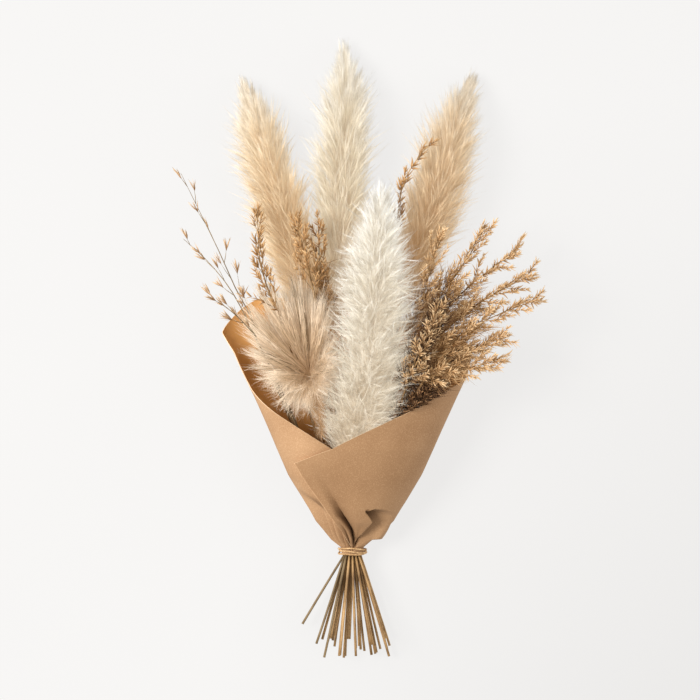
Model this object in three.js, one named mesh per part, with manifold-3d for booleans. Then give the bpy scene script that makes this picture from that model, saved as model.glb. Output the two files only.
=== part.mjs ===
// A bundle of dried pampas grass in a kraft paper wrap, tied with twine and lying on its back.
// Millimetres. +Z points up from the table, +Y runs along the bundle toward the plume tips and
// the origin is on the table under the flat back of the wrap.
import * as THREE from 'three';
import Module from 'manifold-3d';
import { mergeVertices } from 'three/addons/utils/BufferGeometryUtils.js';

const wasm = await Module();
wasm.setup();

// ---- Driving dimensions -------------------------------------------------------------------
const TIE_Y = -130; // middle of the twine
const NECK_Z = 17.0; // height of the neck's middle over the table
const CLEARANCE = 0.3; // between pieces that touch

const STEM_RADIUS = 1.5;
const STEM_PITCH = 3.6; // from stem to stem where the twine holds them
const STEM_SIDES = 5;
const STEM_TAIL = { shortest: 100, longest: 124, spread: 5.3, sway: 4.2, highest: 46, lowest: 1.8 };
const STRAY_TAIL = { length: 84, spread: 6.4 }; // one stem splays out to the left

const PAPER_THICKNESS = 0.8;
const PAPER_FOOT = -4; // the paper ends this far past the middle of the twine
const PAPER_ANGLE_STEP = 9.3; // degrees from column to column of the paper
const PAPER_COLUMNS = 45;
const PAPER_START_ANGLE = 80; // degrees, from the right side over the front
const PAPER_BACK_TOP = TIE_Y + 296; // the back of the wrap ends before this
const PAPER_LAP = { neck: 1.4, mouth: 5.0, mouthAt: 100 }; // how far the lap winds outward
const PLEATS = { count: 8, depth: 0.13, from: 4, full: 16, until: 110 };

const TWINE = { radius: 1.1, ring: 15.6, turns: 2.8, pitch: 2.6, stepsPerTurn: 14, sides: 6 };

// Distance from the twine -> half width, half height and middle height of the wrap.
const WRAP_SECTION = [
  [-4, 12.0, 12.0, NECK_Z], [4, 12.0, 12.0, NECK_Z], [14, 25, 20, 20.5], [36, 44, 31, 29],
  [51, 52, 36, 33], [89, 74, 45, 42], [120, 87.5, 52, 48], [178, 111.5, 60, 54],
  [228, 134, 64, 56], [251, 151, 65, 56], [340, 172, 66, 56],
];
// Angle around the wrap -> how far the paper reaches past the twine there.
const WRAP_EDGE = [
  [80, 95], [107, 121], [135, 150], [165, 177], [175, 187], [184, 223], [191, 251], [206, 267],
  [217, 280], [227, 290], [238, 292], [250, 288], [270, 278], [290, 266], [310, 254], [330, 242],
  [346, 230], [356, 208], [365, 200], [392, 186], [406, 171], [426, 155], [467, 121], [499, 104],
];
// Distance from the twine -> angle where the outer flap ends.
const FLAP_END = [[-4, 460], [5, 462], [37, 480], [73, 492], [104, 498.5]];

// ---- Colours --------------------------------------------------------------------------------
const finish = (color, roughness) => new THREE.MeshStandardMaterial({ color, roughness });
const IVORY = finish(0xece4d4, 0.95);
const CREAM = finish(0xe6dac4, 0.95);
const GOLDEN = finish(0xdcb98a, 0.95);
const TAN = finish(0xd8b184, 0.95);
const BLUSH = finish(0xdcc0a2, 0.95);
const BROWN = finish(0xa37848, 0.9);
const OAT = finish(0xc29c6c, 0.9);
const STRAW = finish(0xb8935f, 0.75);
const KRAFT = finish(0xbe9468, 0.85);
const JUTE = finish(0xb08d60, 0.95);

// ---- The heads: plumes, the fan and the sprays --------------------------------------------
// axis runs from the base to the tip. radius is the widest reach of the tufts.
const PLUMES = [
  { name: 'plume_left', material: GOLDEN, radius: 41, core: 9, tufts: 42, seed: 11,
    axis: [[-54, 172, 27], [-73, 230, 33], [-90, 290, 36], [-106, 350, 31], [-129, 418, 9]] },
  { name: 'plume_back', material: CREAM, radius: 38, core: 9, tufts: 42, seed: 12,
    axis: [[-17, 206, 28], [-13, 265, 33], [-11, 324, 36], [-8, 385, 30], [-10, 461, 9]] },
  { name: 'plume_right', material: TAN, radius: 40, core: 9, tufts: 42, seed: 13,
    axis: [[64, 190, 28], [87, 250, 36], [105, 312, 36], [119, 364, 30], [141, 420, 10]] },
  { name: 'plume_front', material: IVORY, radius: 52, core: 12, tufts: 64, seed: 14,
    axis: [[-7, -34, 47], [3, 10, 60], [18, 75, 80], [24, 150, 90], [29, 235, 92], [37, 298, 88]] },
];
const FAN = {
  name: 'plume_fan', material: BLUSH, seed: 15, hub: [-47, 72, 70], hubRadius: 7, blades: 45,
  // Direction in degrees from the right side -> length of the fibres.
  reach: [[55, 58], [80, 98], [100, 121], [120, 120], [135, 106], [150, 90], [175, 70], [210, 56], [250, 50]],
  lift: [-14, 30], // degrees out of the level plane
};
const FAN_LEAN = new THREE.Vector3(0, 1, 0.5); // the way that its stem comes in
const FAN_SEAT = new THREE.Vector3(2, -9.5, -4); // from the hub to the top of its stem
const FAN_TAIL = { axis: [[-45, 70, 78], [-41, 48, 88], [-37, 26, 92], [-34, 4, 92]], tufts: 16, reach: 11 };

// twigs and spikelets are counts, reach is the length of the lowest twig.
const SPRAYS = [
  { name: 'oat_spray_tall', material: OAT, seed: 21, twigs: 6, spikelets: 3, reach: 22, spikelet: 12,
    axis: [[-108, 130, 58], [-135, 177, 62], [-151, 213, 62], [-170, 252, 62], [-194, 301, 62]] },
  { name: 'oat_spray_side', material: OAT, seed: 22, twigs: 5, spikelets: 3, reach: 18, spikelet: 11,
    axis: [[-112, 122, 70], [-135, 166, 76], [-160, 198, 78], [-190, 226, 78]] },
  { name: 'oat_spray_low', material: OAT, seed: 23, twigs: 4, spikelets: 4, reach: 15, spikelet: 11,
    axis: [[-104, 112, 84], [-126, 136, 90], [-143, 150, 90], [-160, 160, 90]] },
  { name: 'brown_sprig_left', material: BROWN, seed: 24, twigs: 8, spikelets: 3, reach: 17, spikelet: 11,
    axis: [[-76, 132, 86], [-93, 165, 92], [-104, 205, 93], [-106, 252, 92]] },
  { name: 'brown_spray_a', material: BROWN, seed: 25, twigs: 6, spikelets: 3, reach: 22, spikelet: 10,
    axis: [[-42, 158, 80], [-49, 190, 84], [-62, 243, 84]] },
  { name: 'brown_spray_b', material: BROWN, seed: 26, twigs: 6, spikelets: 3, reach: 20, spikelet: 10,
    axis: [[-32, 162, 58], [-37, 200, 72], [-39, 245, 76]] },
  { name: 'brown_sprig_centre', material: BROWN, seed: 27, twigs: 5, spikelets: 3, reach: 17, spikelet: 11,
    axis: [[50, 222, 62], [52, 262, 66], [60, 296, 70], [84, 331, 72]] },
  { name: 'spray_top', material: BROWN, seed: 31, twigs: 6, spikelets: 3, reach: 24, spikelet: 10,
    axis: [[62, 110, 52], [80, 165, 78], [96, 226, 82]] },
  { name: 'spray_upper', material: BROWN, seed: 32, twigs: 6, spikelets: 3, reach: 22, spikelet: 10,
    axis: [[66, 120, 40], [112, 180, 76], [151, 238, 82]] },
  { name: 'spray_outer_a', material: BROWN, seed: 33, twigs: 7, spikelets: 3, reach: 24, spikelet: 10,
    axis: [[74, 108, 50], [128, 170, 66], [184, 213, 72]] },
  { name: 'spray_outer_b', material: BROWN, seed: 34, twigs: 7, spikelets: 3, reach: 24, spikelet: 10,
    axis: [[78, 100, 68], [136, 150, 84], [200, 186, 88]] },
  { name: 'spray_outer_c', material: BROWN, seed: 35, twigs: 7, spikelets: 3, reach: 22, spikelet: 10,
    axis: [[74, 84, 82], [140, 130, 102], [205, 158, 104]] },
  { name: 'spray_side', material: BROWN, seed: 36, twigs: 6, spikelets: 3, reach: 22, spikelet: 10,
    axis: [[84, 84, 66], [124, 100, 82], [166, 114, 86]] },
  { name: 'spray_low', material: BROWN, seed: 37, twigs: 6, spikelets: 3, reach: 20, spikelet: 10,
    axis: [[70, 66, 96], [112, 78, 112], [157, 88, 112]] },
  { name: 'bushy_spray_a', material: BROWN, seed: 38, twigs: 6, spikelets: 3, reach: 20, spikelet: 11,
    axis: [[58, 56, 84], [76, 98, 106], [98, 150, 114]] },
  { name: 'bushy_spray_b', material: BROWN, seed: 39, twigs: 5, spikelets: 3, reach: 18, spikelet: 11,
    axis: [[60, 30, 64], [86, 62, 80], [112, 90, 88]] },
  { name: 'bushy_spray_c', material: BROWN, seed: 40, twigs: 5, spikelets: 3, reach: 16, spikelet: 11,
    axis: [[52, 16, 82], [72, 42, 96], [94, 62, 98]] },
];

// Cut stems that end inside the wrap, each by the place that it leans to 94 mm past the twine.
const LOOSE_STEMS = [
  [-34, -36, 14], [-12, -36, 12], [16, -36, 13], [36, -36, 20],
  [-42, -36, 40], [-24, -36, 62], [8, -36, 30],
].map((place, k) => ({ name: `loose_stem_${k + 1}`, place }));

// ---- Small helpers ------------------------------------------------------------------------
const point = ([x, y, z]) => new THREE.Vector3(x, y, z);
const curveThrough = (list) => new THREE.CatmullRomCurve3(list.map(point), false, 'centripetal');
const lerp = THREE.MathUtils.lerp;
const clamp = THREE.MathUtils.clamp;
const radians = THREE.MathUtils.degToRad;

/** Draws between 0 and 1 that are the same each run. */
function seededDraws(seed) {
  let state = seed * 2654435761;
  return () => {
    state = (state + 0x6d2b79f5) | 0;
    let mixed = Math.imul(state ^ (state >>> 15), 1 | state);
    mixed = (mixed + Math.imul(mixed ^ (mixed >>> 7), 61 | mixed)) ^ mixed;
    return ((mixed ^ (mixed >>> 14)) >>> 0) / 4294967296;
  };
}

/** The value of column k of a table at x, in straight lines between its rows. */
function readTable(table, x, k = 1) {
  if (x <= table[0][0]) return table[0][k];
  for (let i = 1; i < table.length; i++) {
    if (x <= table[i][0]) {
      const share = (x - table[i - 1][0]) / (table[i][0] - table[i - 1][0]);
      return lerp(table[i - 1][k], table[i][k], share);
    }
  }
  return table[table.length - 1][k];
}

/** A closed solid from a closed geometry, with its faces turned outward. */
function solidFrom(geometry) {
  geometry.deleteAttribute('normal');
  geometry.deleteAttribute('uv');
  const merged = mergeVertices(geometry, 1e-4);
  const at = merged.attributes.position.array;
  const index = merged.index.array;
  const corners = [];
  let volume = 0;
  for (let i = 0; i < index.length; i += 3) {
    const [a, b, c] = [index[i], index[i + 1], index[i + 2]];
    if (a === b || b === c || c === a) continue;
    corners.push(a, b, c);
    const [ax, ay, az] = at.slice(3 * a, 3 * a + 3);
    const [bx, by, bz] = at.slice(3 * b, 3 * b + 3);
    const [cx, cy, cz] = at.slice(3 * c, 3 * c + 3);
    volume += ax * (by * cz - bz * cy) + ay * (bz * cx - bx * cz) + az * (bx * cy - by * cx);
  }
  if (volume < 0) corners.reverse();
  return new wasm.Manifold(new wasm.Mesh({
    numProp: 3, vertProperties: new Float32Array(at), triVerts: new Uint32Array(corners),
  }));
}

function geometryFrom(solid) {
  const mesh = solid.getMesh();
  const geometry = new THREE.BufferGeometry();
  geometry.setAttribute('position', new THREE.BufferAttribute(mesh.vertProperties.slice(), 3));
  geometry.setIndex(new THREE.BufferAttribute(mesh.triVerts.slice(), 1));
  geometry.computeVertexNormals();
  return geometry;
}

/** Rows of a limb: the points of a curve at some shares of its length, each with a radius. */
const along = (curve, profile) => profile.map(([share, radius]) => ({ at: curve.getPointAt(share), radius }));

/** A turned body whose rows are bent onto the points given, with its ends on the axis. */
function limb(rows, sides) {
  const profile = rows.map(({ radius }, k) => new THREE.Vector2(radius, k));
  const geometry = new THREE.LatheGeometry(profile, sides);
  const at = geometry.attributes.position;
  let normal = new THREE.Vector3(0.31, 0.17, 0.94);
  const frames = rows.map((row, k) => {
    const before = rows.slice(0, k).findLast((other) => other.at.distanceTo(row.at) > 1e-3) ?? row;
    const after = rows.slice(k + 1).find((other) => other.at.distanceTo(row.at) > 1e-3) ?? row;
    const tangent = after.at.clone().sub(before.at).normalize();
    normal = normal.clone().addScaledVector(tangent, -normal.dot(tangent)).normalize();
    return { centre: row.at, normal, side: tangent.clone().cross(normal) };
  });
  for (let i = 0; i < at.count; i++) {
    const frame = frames[i % rows.length];
    const place = frame.centre.clone()
      .addScaledVector(frame.normal, at.getX(i))
      .addScaledVector(frame.side, at.getZ(i));
    at.setXYZ(i, place.x, place.y, place.z);
  }
  return geometry;
}

/** Presses what lies lower than the table, or than the paper's back, flat onto it. */
function pressed(geometry) {
  const at = geometry.attributes.position;
  for (let i = 0; i < at.count; i++) {
    const floor = at.getY(i) < PAPER_BACK_TOP ? PAPER_THICKNESS + CLEARANCE : 0;
    at.setZ(i, Math.max(at.getZ(i), floor));
  }
  return geometry;
}

// ---- Room around the pieces ---------------------------------------------------------------
const placed = []; // every solid so far, with the node that it belongs to

function keep(node, solid) {
  placed.push({ node, solid, box: solid.boundingBox() });
  return solid;
}

/** True where a solid of a node keeps clear of every other node. */
function isClear(node, solid, clearance = CLEARANCE) {
  const box = solid.boundingBox();
  return placed.every((other) => {
    if (other.node === node) return true;
    for (let k = 0; k < 3; k++) {
      if (box.min[k] > other.box.max[k] + clearance) return true;
      if (box.max[k] < other.box.min[k] - clearance) return true;
    }
    return solid.minGap(other.solid, clearance + 0.1) >= clearance;
  });
}

/** Joins the solids of a node, without scraps or sealed hollows. */
function fused(solids) {
  const bodies = wasm.Manifold.union(solids).decompose();
  return bodies.reduce((most, body) => (body.volume() > most.volume() ? body : most));
}

const bundle = new THREE.Group();

function addNode(name, material, solid) {
  const mesh = new THREE.Mesh(geometryFrom(solid), material);
  mesh.name = name;
  bundle.add(mesh);
}

// ---- The paper wrap -----------------------------------------------------------------------
/** The middle of the paper at an angle round the neck and a distance past the twine. */
function paperPoint(angle, past) {
  const wound = (angle - PAPER_START_ANGLE) / (PAPER_COLUMNS * PAPER_ANGLE_STEP);
  const lap = wound * readTable([[0, PAPER_LAP.neck], [PAPER_LAP.mouthAt, PAPER_LAP.mouth]], past);
  const fold = readTable([[PLEATS.from, 0], [PLEATS.full, 1], [PLEATS.until, 0]], past);
  const pleat = 1 + PLEATS.depth * fold * Math.cos(radians(PLEATS.count * angle));
  const across = (readTable(WRAP_SECTION, past, 1) + lap) * pleat;
  const up = (readTable(WRAP_SECTION, past, 2) + lap) * pleat;
  const x = 2 * clamp(past / 60, 0, 1) + across * Math.cos(radians(angle));
  const z = readTable(WRAP_SECTION, past, 3) + up * Math.sin(radians(angle));
  return new THREE.Vector3(x, TIE_Y + past, z);
}

function paperWrap() {
  const neckRows = [PAPER_FOOT, 4, 14, 34];
  const openRows = 4;
  const rows = neckRows.length + openRows;
  const half = PAPER_THICKNESS / 2;
  const middle = [];
  for (let i = 0; i <= PAPER_COLUMNS; i++) {
    const angle = PAPER_START_ANGLE + i * PAPER_ANGLE_STEP;
    const reach = readTable(WRAP_EDGE, angle);
    const lastAngle = PAPER_START_ANGLE + PAPER_COLUMNS * PAPER_ANGLE_STEP;
    for (let j = 0; j < rows; j++) {
      const share = (j - neckRows.length + 1) / openRows;
      const past = j < neckRows.length ? neckRows[j] : lerp(neckRows.at(-1), reach, share);
      const ending = readTable(FLAP_END, past * (j < neckRows.length ? 1 : 104 / reach));
      const narrowed = (ending - PAPER_START_ANGLE) / (lastAngle - PAPER_START_ANGLE);
      middle.push(paperPoint(PAPER_START_ANGLE + (angle - PAPER_START_ANGLE) * narrowed, past));
    }
  }
  const corner = (i, j) => middle[clamp(i, 0, PAPER_COLUMNS) * rows + clamp(j, 0, rows - 1)];
  const positions = [];
  for (const side of [1, -1]) {
    for (let i = 0; i <= PAPER_COLUMNS; i++) {
      for (let j = 0; j < rows; j++) {
        const around = corner(i + 1, j).clone().sub(corner(i - 1, j));
        const along = corner(i, j + 1).clone().sub(corner(i, j - 1));
        const outward = along.cross(around).normalize();
        const place = corner(i, j).clone().addScaledVector(outward, side * half);
        const onTable = corner(i, j).z <= half;
        if (onTable) place.z = side > 0 ? 0 : PAPER_THICKNESS;
        place.z = Math.max(place.z, side > 0 ? 0 : PAPER_THICKNESS);
        positions.push(place.x, place.y, place.z);
      }
    }
  }
  const layer = (PAPER_COLUMNS + 1) * rows;
  const index = [];
  const quad = (a, b, c, d) => index.push(a, b, c, a, c, d);
  const at = (i, j, inner) => i * rows + j + (inner ? layer : 0);
  for (let i = 0; i < PAPER_COLUMNS; i++) {
    for (let j = 0; j < rows - 1; j++) {
      quad(at(i, j), at(i, j + 1), at(i + 1, j + 1), at(i + 1, j));
      quad(at(i, j, 1), at(i + 1, j, 1), at(i + 1, j + 1, 1), at(i, j + 1, 1));
    }
    quad(at(i, 0), at(i + 1, 0), at(i + 1, 0, 1), at(i, 0, 1));
    quad(at(i, rows - 1), at(i, rows - 1, 1), at(i + 1, rows - 1, 1), at(i + 1, rows - 1));
  }
  for (let j = 0; j < rows - 1; j++) {
    quad(at(0, j), at(0, j, 1), at(0, j + 1, 1), at(0, j + 1));
    const last = PAPER_COLUMNS;
    quad(at(last, j), at(last, j + 1), at(last, j + 1, 1), at(last, j, 1));
  }
  const geometry = new THREE.BufferGeometry();
  geometry.setAttribute('position', new THREE.BufferAttribute(new Float32Array(positions), 3));
  geometry.setIndex(index);
  return solidFrom(geometry);
}

// ---- The twine ----------------------------------------------------------------------------
function twineTie() {
  const { radius, ring, turns, pitch, stepsPerTurn, sides } = TWINE;
  const steps = Math.round(turns * stepsPerTurn);
  const start = TIE_Y - (turns * pitch) / 2;
  const path = [];
  for (let i = 0; i <= steps; i++) {
    const angle = (i / stepsPerTurn) * 2 * Math.PI;
    path.push([ring * Math.cos(angle), start + (i / stepsPerTurn) * pitch, NECK_Z + ring * Math.sin(angle)]);
  }
  const circle = new THREE.Path().absarc(0, 0, radius, 0, 2 * Math.PI);
  const section = new THREE.Shape(circle.getPoints(sides / 2).slice(0, -1));
  const options = { steps, extrudePath: curveThrough(path), bevelEnabled: false };
  return solidFrom(new THREE.ExtrudeGeometry(section, options));
}

// ---- The stems ----------------------------------------------------------------------------
const ROUTE_LEVELS = [24, 50, 80, 98, 126, 160, 204, 256]; // past the twine
const STEM_ROOM = 2.6; // between stems where they spread above the neck
const ROUTE_END = 8; // a stem's last level is at least this far below its head
const NECK_HALF = 4; // the stems run straight this far to both sides of the twine's middle
const NECK_REACH = 1.4; // how far out of the neck a head at the wrap's side wants its slot
const SETTLING_ROUNDS = 200; // until no stem pushes another one
const SLOT_ROUNDS = 40; // until no two heads gain from trading their slots
const TAIL_FAN = 2.7; // stems from the neck's middle to its rim, where the highest and lowest tails start
const ROW_SWAY = [-1, 0.3, 1.2, -0.5]; // the way that each row of tails leans, in turn
const STEM_SHOULDER = 14; // a plume's stem turns into the plume's direction this far below it

/** Places for the stems in the neck, nearest to its middle first. */
function neckSlots(count) {
  const slots = [];
  for (let row = -4; row <= 4; row++) {
    for (let column = -4; column <= 4; column++) {
      const x = (column + (row % 2 ? 0.5 : 0)) * STEM_PITCH;
      slots.push(new THREE.Vector2(x, row * STEM_PITCH * Math.sin(Math.PI / 3)));
    }
  }
  return slots.sort((a, b) => a.length() - b.length()).slice(0, count);
}

/** Gives each head the slot that lies on its side of the neck, so that no two stems change sides. */
function shareSlots(heads) {
  const slots = neckSlots(heads.length);
  const spread = slots.at(-1).length();
  const wished = heads.map(({ base }) => {
    const past = base.y - TIE_Y;
    const rise = (base.z - readTable(WRAP_SECTION, past, 3)) / readTable(WRAP_SECTION, past, 2);
    const aside = base.x / readTable(WRAP_SECTION, past, 1);
    return new THREE.Vector2(aside, rise).multiplyScalar(NECK_REACH * spread);
  });
  heads.forEach((head, h) => { head.slot = slots[h]; });
  const cost = (h, slot) => wished[h].distanceToSquared(slot);
  for (let round = 0; round < SLOT_ROUNDS; round++) {
    for (let a = 0; a < heads.length; a++) {
      for (let b = a + 1; b < heads.length; b++) {
        const [first, second] = [heads[a].slot, heads[b].slot];
        if (cost(a, second) + cost(b, first) < cost(a, first) + cost(b, second)) {
          heads[a].slot = second;
          heads[b].slot = first;
        }
      }
    }
  }
}

/** The point of a head's axis at a distance past the twine, or nothing where it has none. */
function axisAt(head, past) {
  const y = TIE_Y + past;
  const points = head.axisPoints;
  for (let i = 1; i < points.length; i++) {
    if (points[i - 1].y <= y && y < points[i].y) {
      return points[i - 1].clone().lerp(points[i], (y - points[i - 1].y) / (points[i].y - points[i - 1].y));
    }
  }
  return null;
}

/** Where each stem runs between the neck and its head, with none in the way of another. */
function routeStems(heads) {
  for (const head of heads) {
    head.route = [new THREE.Vector3(head.slot.x, TIE_Y + NECK_HALF, NECK_Z + head.slot.y)];
  }
  for (const past of ROUTE_LEVELS) {
    const climbing = heads.filter(({ base }) => base.y - TIE_Y > past + ROUTE_END);
    const passed = heads.filter((head) => !climbing.includes(head));
    const spots = climbing.map(({ base, route }) => {
      const share = (past - NECK_HALF) / (base.y - TIE_Y - NECK_HALF);
      return route[0].clone().lerp(base, share);
    });
    const fixed = passed
      .map((head) => ({ at: axisAt(head, past), radius: head.core }))
      .filter(({ at }) => at);
    for (let round = 0; round < SETTLING_ROUNDS; round++) {
      spots.forEach((spot, i) => {
        spots.slice(i + 1).forEach((other) => pushApart(spot, other, 2 * STEM_RADIUS + STEM_ROOM, 0.5));
        fixed.forEach(({ at, radius }) => pushApart(spot, at, STEM_RADIUS + radius + STEM_ROOM, 1));
      });
    }
    climbing.forEach((head, i) => head.route.push(spots[i]));
  }
}

/** Moves a point, and at half share the other one too, until they are apart across the bundle. */
function pushApart(spot, other, apart, share) {
  const [dx, dz] = [spot.x - other.x, spot.z - other.z];
  const distance = Math.hypot(dx, dz) || 1e-6;
  if (distance >= apart) return;
  const step = (apart - distance) / distance;
  spot.x += dx * step * share;
  spot.z += dz * step * share;
  if (share < 1) {
    other.x -= dx * step * share;
    other.z -= dz * step * share;
  }
}

/** The cut end of a stem below the neck: each row of stems sways to one side of the row below it. */
function tailEnd(head, draw, isStray) {
  const { shortest, longest, spread, sway, highest, lowest } = STEM_TAIL;
  const length = isStray ? STRAY_TAIL.length : lerp(shortest, longest, draw());
  const share = length / longest;
  const reach = isStray ? STRAY_TAIL.spread : 1 + (spread - 1) * share;
  const row = Math.round(head.slot.y / (STEM_PITCH * Math.sin(Math.PI / 3)));
  const aside = isStray ? 0 : share * sway * (ROW_SWAY[row & 3] + lerp(-0.4, 0.4, draw()));
  const fanned = clamp(head.slot.y / (2 * TAIL_FAN * STEM_PITCH) + 0.5, 0, 1);
  const height = lerp(lowest, highest, fanned);
  const z = lerp(NECK_Z + head.slot.y, height, share);
  return new THREE.Vector3(head.slot.x * reach + aside, TIE_Y - length, z);
}

/** A stem from its cut end to the base of its head, and on along the head's axis if it has one. */
function stemRows(head, tail, top) {
  const foot = head.route[0].clone().setY(TIE_Y - NECK_HALF);
  const points = [tail, foot, ...head.route, ...top.map(({ at }) => at)];
  const rows = points.map((at, k) => ({ at, radius: top[k - head.route.length - 2]?.radius ?? STEM_RADIUS }));
  return [{ at: rows[0].at, radius: 0 }, ...rows, { at: rows.at(-1).at, radius: 0 }];
}

// ---- The heads ----------------------------------------------------------------------------
const PLUME_OUTLINE = [
  [0, 0.7], [0.2, 1], [0.45, 1], [0.6, 0.88], [0.72, 0.72], [0.82, 0.54], [0.9, 0.34], [1, 0.06],
];
const TUFT_PROFILE = [[0, 0], [0.5, 1], [1, 0]];
const SPIKELET_FATNESS = 0.23; // radius to length
const TUFT_FATNESS = 0.19; // radius of a tuft to that of its plume
const TUFT_RUN = 46; // how far a tuft reaches along the plume
const GOLDEN_ANGLE = 137.5;

/** Two directions across a tangent: the first as upright as it can be. */
function across(tangent) {
  const up = new THREE.Vector3(0, 0, 1);
  up.addScaledVector(tangent, -up.dot(tangent)).normalize();
  return [up, tangent.clone().cross(up)];
}

const outward = ([first, second], degrees) => first.clone().multiplyScalar(Math.cos(radians(degrees)))
  .addScaledVector(second, Math.sin(radians(degrees)));

/** Adds a solid of a head if it, or one of its other tries, keeps clear of the other nodes. */
function grow(name, solids, tries, build) {
  for (let attempt = 0; attempt < tries; attempt++) {
    const solid = build(attempt);
    if (!isClear(name, solid)) continue;
    solids.push(keep(name, solid));
    return true;
  }
  return false;
}

function plumeCore({ name, axis, core }) {
  const rows = along(curveThrough(axis), [
    [0, 2.2], [0.06, 0.7 * core], [0.3, core], [0.6, 0.85 * core], [0.85, 0.5 * core], [1, 0],
  ]);
  return keep(name, solidFrom(pressed(limb([{ at: rows[0].at, radius: 0 }, ...rows], 7))));
}

function plumeTufts({ name, axis, radius, tufts, seed, core }, solids) {
  const curve = curveThrough(axis);
  const length = curve.getLength();
  const draw = seededDraws(seed);
  for (let k = 0; k < tufts; k++) {
    const root = 0.015 + 0.875 * ((k + 0.5) / tufts) ** 0.92;
    const run = (TUFT_RUN * lerp(0.8, 1.2, draw())) / length;
    const lean = lerp(-12, 12, draw());
    const full = lerp(0.9, 1.06, draw());
    const tip = Math.min(root + run, 1);
    grow(name, solids, 6, (attempt) => {
      const angle = k * GOLDEN_ANGLE + lean + 25 * attempt;
      const shorter = 1 - 0.1 * attempt;
      const at = (share, reach) => curve.getPointAt(share)
        .addScaledVector(outward(across(curve.getTangentAt(share)), angle), reach);
      const wide = radius * readTable(PLUME_OUTLINE, tip) * full * shorter;
      const bend = new THREE.QuadraticBezierCurve3(
        curve.getPointAt(root), at(lerp(root, tip, 0.42), wide * 0.72), at(tip, wide));
      const thick = TUFT_FATNESS * radius * Math.sqrt(readTable(PLUME_OUTLINE, root));
      return solidFrom(pressed(limb(along(bend, TUFT_PROFILE.map(([s, r]) => [s, r * thick])), 3)));
    });
  }
}

/** A plume seen from its side: straight fibres that spread from a short hub. */
function fanPlume() {
  const { name, hub, hubRadius, blades, reach, lift, seed } = FAN;
  const centre = point(hub);
  const draw = seededDraws(seed);
  const core = new THREE.SphereGeometry(hubRadius, 9, 6).scale(1, 1.25, 0.9).translate(...hub);
  const solids = [keep(name, solidFrom(core))];
  const [first, last] = [reach[0][0], reach.at(-1)[0]];
  for (let k = 0; k < blades; k++) {
    const degrees = lerp(first, last, (k + 0.5) / blades);
    const steep = lerp(lift[0], lift[1], (k * 0.618) % 1);
    const length = readTable(reach, degrees) * lerp(0.86, 1.03, draw());
    grow(name, solids, 5, (attempt) => {
      const turn = radians(degrees);
      const rise = radians(steep + 9 * attempt);
      const level = new THREE.Vector3(Math.cos(turn), Math.sin(turn), 0);
      const way = level.multiplyScalar(Math.cos(rise)).setZ(Math.sin(rise));
      const tip = centre.clone().addScaledVector(way, length);
      tip.z -= 0.05 * length;
      const root = centre.clone().addScaledVector(way, 0.5 * hubRadius);
      const middle = centre.clone().addScaledVector(way, 0.55 * length);
      const bend = new THREE.QuadraticBezierCurve3(root, middle, tip);
      return solidFrom(limb(along(bend, [[0, 0], [0.55, 2.6], [1, 0]]), 3));
    });
  }
  const tail = curveThrough(FAN_TAIL.axis);
  solids.push(keep(name, solidFrom(limb(along(tail, [[0, 0], [0.2, 2.4], [0.8, 1.8], [1, 0]]), 5))));
  for (let k = 0; k < FAN_TAIL.tufts; k++) {
    const share = 0.2 + (0.7 * k) / FAN_TAIL.tufts;
    grow(name, solids, 3, (attempt) => {
      const out = outward(across(tail.getTangentAt(share)), k * GOLDEN_ANGLE + 40 * attempt);
      const root = tail.getPointAt(share);
      const tip = tail.getPointAt(Math.min(1, share + 0.12)).addScaledVector(out, FAN_TAIL.reach);
      return solidFrom(limb(along(new THREE.LineCurve3(root, tip), [[0, 0], [0.4, 1.3], [1, 0]]), 3));
    });
  }
  return solids;
}

/** The twigs of a spray with their spikelets, shorter toward the tip. */
function sprayTwigs({ name, axis, twigs, spikelets, reach, spikelet, seed }, solids) {
  const curve = curveThrough(axis);
  const draw = seededDraws(seed);
  for (let k = 0; k <= twigs; k++) {
    const share = 0.12 + 0.86 * (k / twigs);
    const root = curve.getPointAt(share);
    const tangent = curve.getTangentAt(share);
    const length = reach * lerp(1, 0.45, share) * lerp(0.8, 1.15, draw());
    const opening = radians(k === twigs ? 6 : lerp(30, 44, draw()));
    let way = tangent;
    const grew = grow(name, solids, 8, (attempt) => {
      const out = outward(across(tangent), k * GOLDEN_ANGLE + 45 * attempt);
      way = tangent.clone().multiplyScalar(Math.cos(opening)).addScaledVector(out, Math.sin(opening));
      const whole = length + spikelet;
      const neck = length / whole;
      const widest = [lerp(neck, 1, 0.4), SPIKELET_FATNESS * spikelet];
      const profile = [[0, 0], [0.06, 0.7], [neck, 0.6], widest, [1, 0]];
      const tip = root.clone().addScaledVector(way, whole);
      return solidFrom(limb(along(new THREE.LineCurve3(root, tip), profile), 3));
    });
    if (!grew) continue;
    for (let i = 1; i < spikelets; i++) {
      const seat = root.clone().addScaledVector(way, length * lerp(1, 0.25, i / spikelets));
      grow(name, solids, 4, (attempt) => {
        const out = outward(across(way), 100 + i * 170 + 60 * attempt);
        const tip = seat.clone().addScaledVector(way, spikelet).addScaledVector(out, spikelet * 0.62);
        const profile = [[0, 0], [0.45, SPIKELET_FATNESS * spikelet], [1, 0]];
        return solidFrom(limb(along(new THREE.LineCurve3(seat, tip), profile), 3));
      });
    }
  }
}

// ---- The bundle ---------------------------------------------------------------------------
const heads = [
  ...PLUMES.map((plume) => ({ ...plume, base: point(plume.axis[0]) })),
  { ...FAN, core: FAN.hubRadius, base: point(FAN.hub).add(FAN_SEAT), axis: [] },
  ...SPRAYS.map((spray) => ({ ...spray, core: STEM_RADIUS, base: point(spray.axis[0]) })),
  ...LOOSE_STEMS.map(({ name, place }) => ({ name, core: STEM_RADIUS, base: point(place), axis: [] })),
];
for (const head of heads) {
  head.axisPoints = head.axis.length ? curveThrough(head.axis).getSpacedPoints(24) : [];
}
shareSlots(heads);
routeStems(heads);

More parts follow.
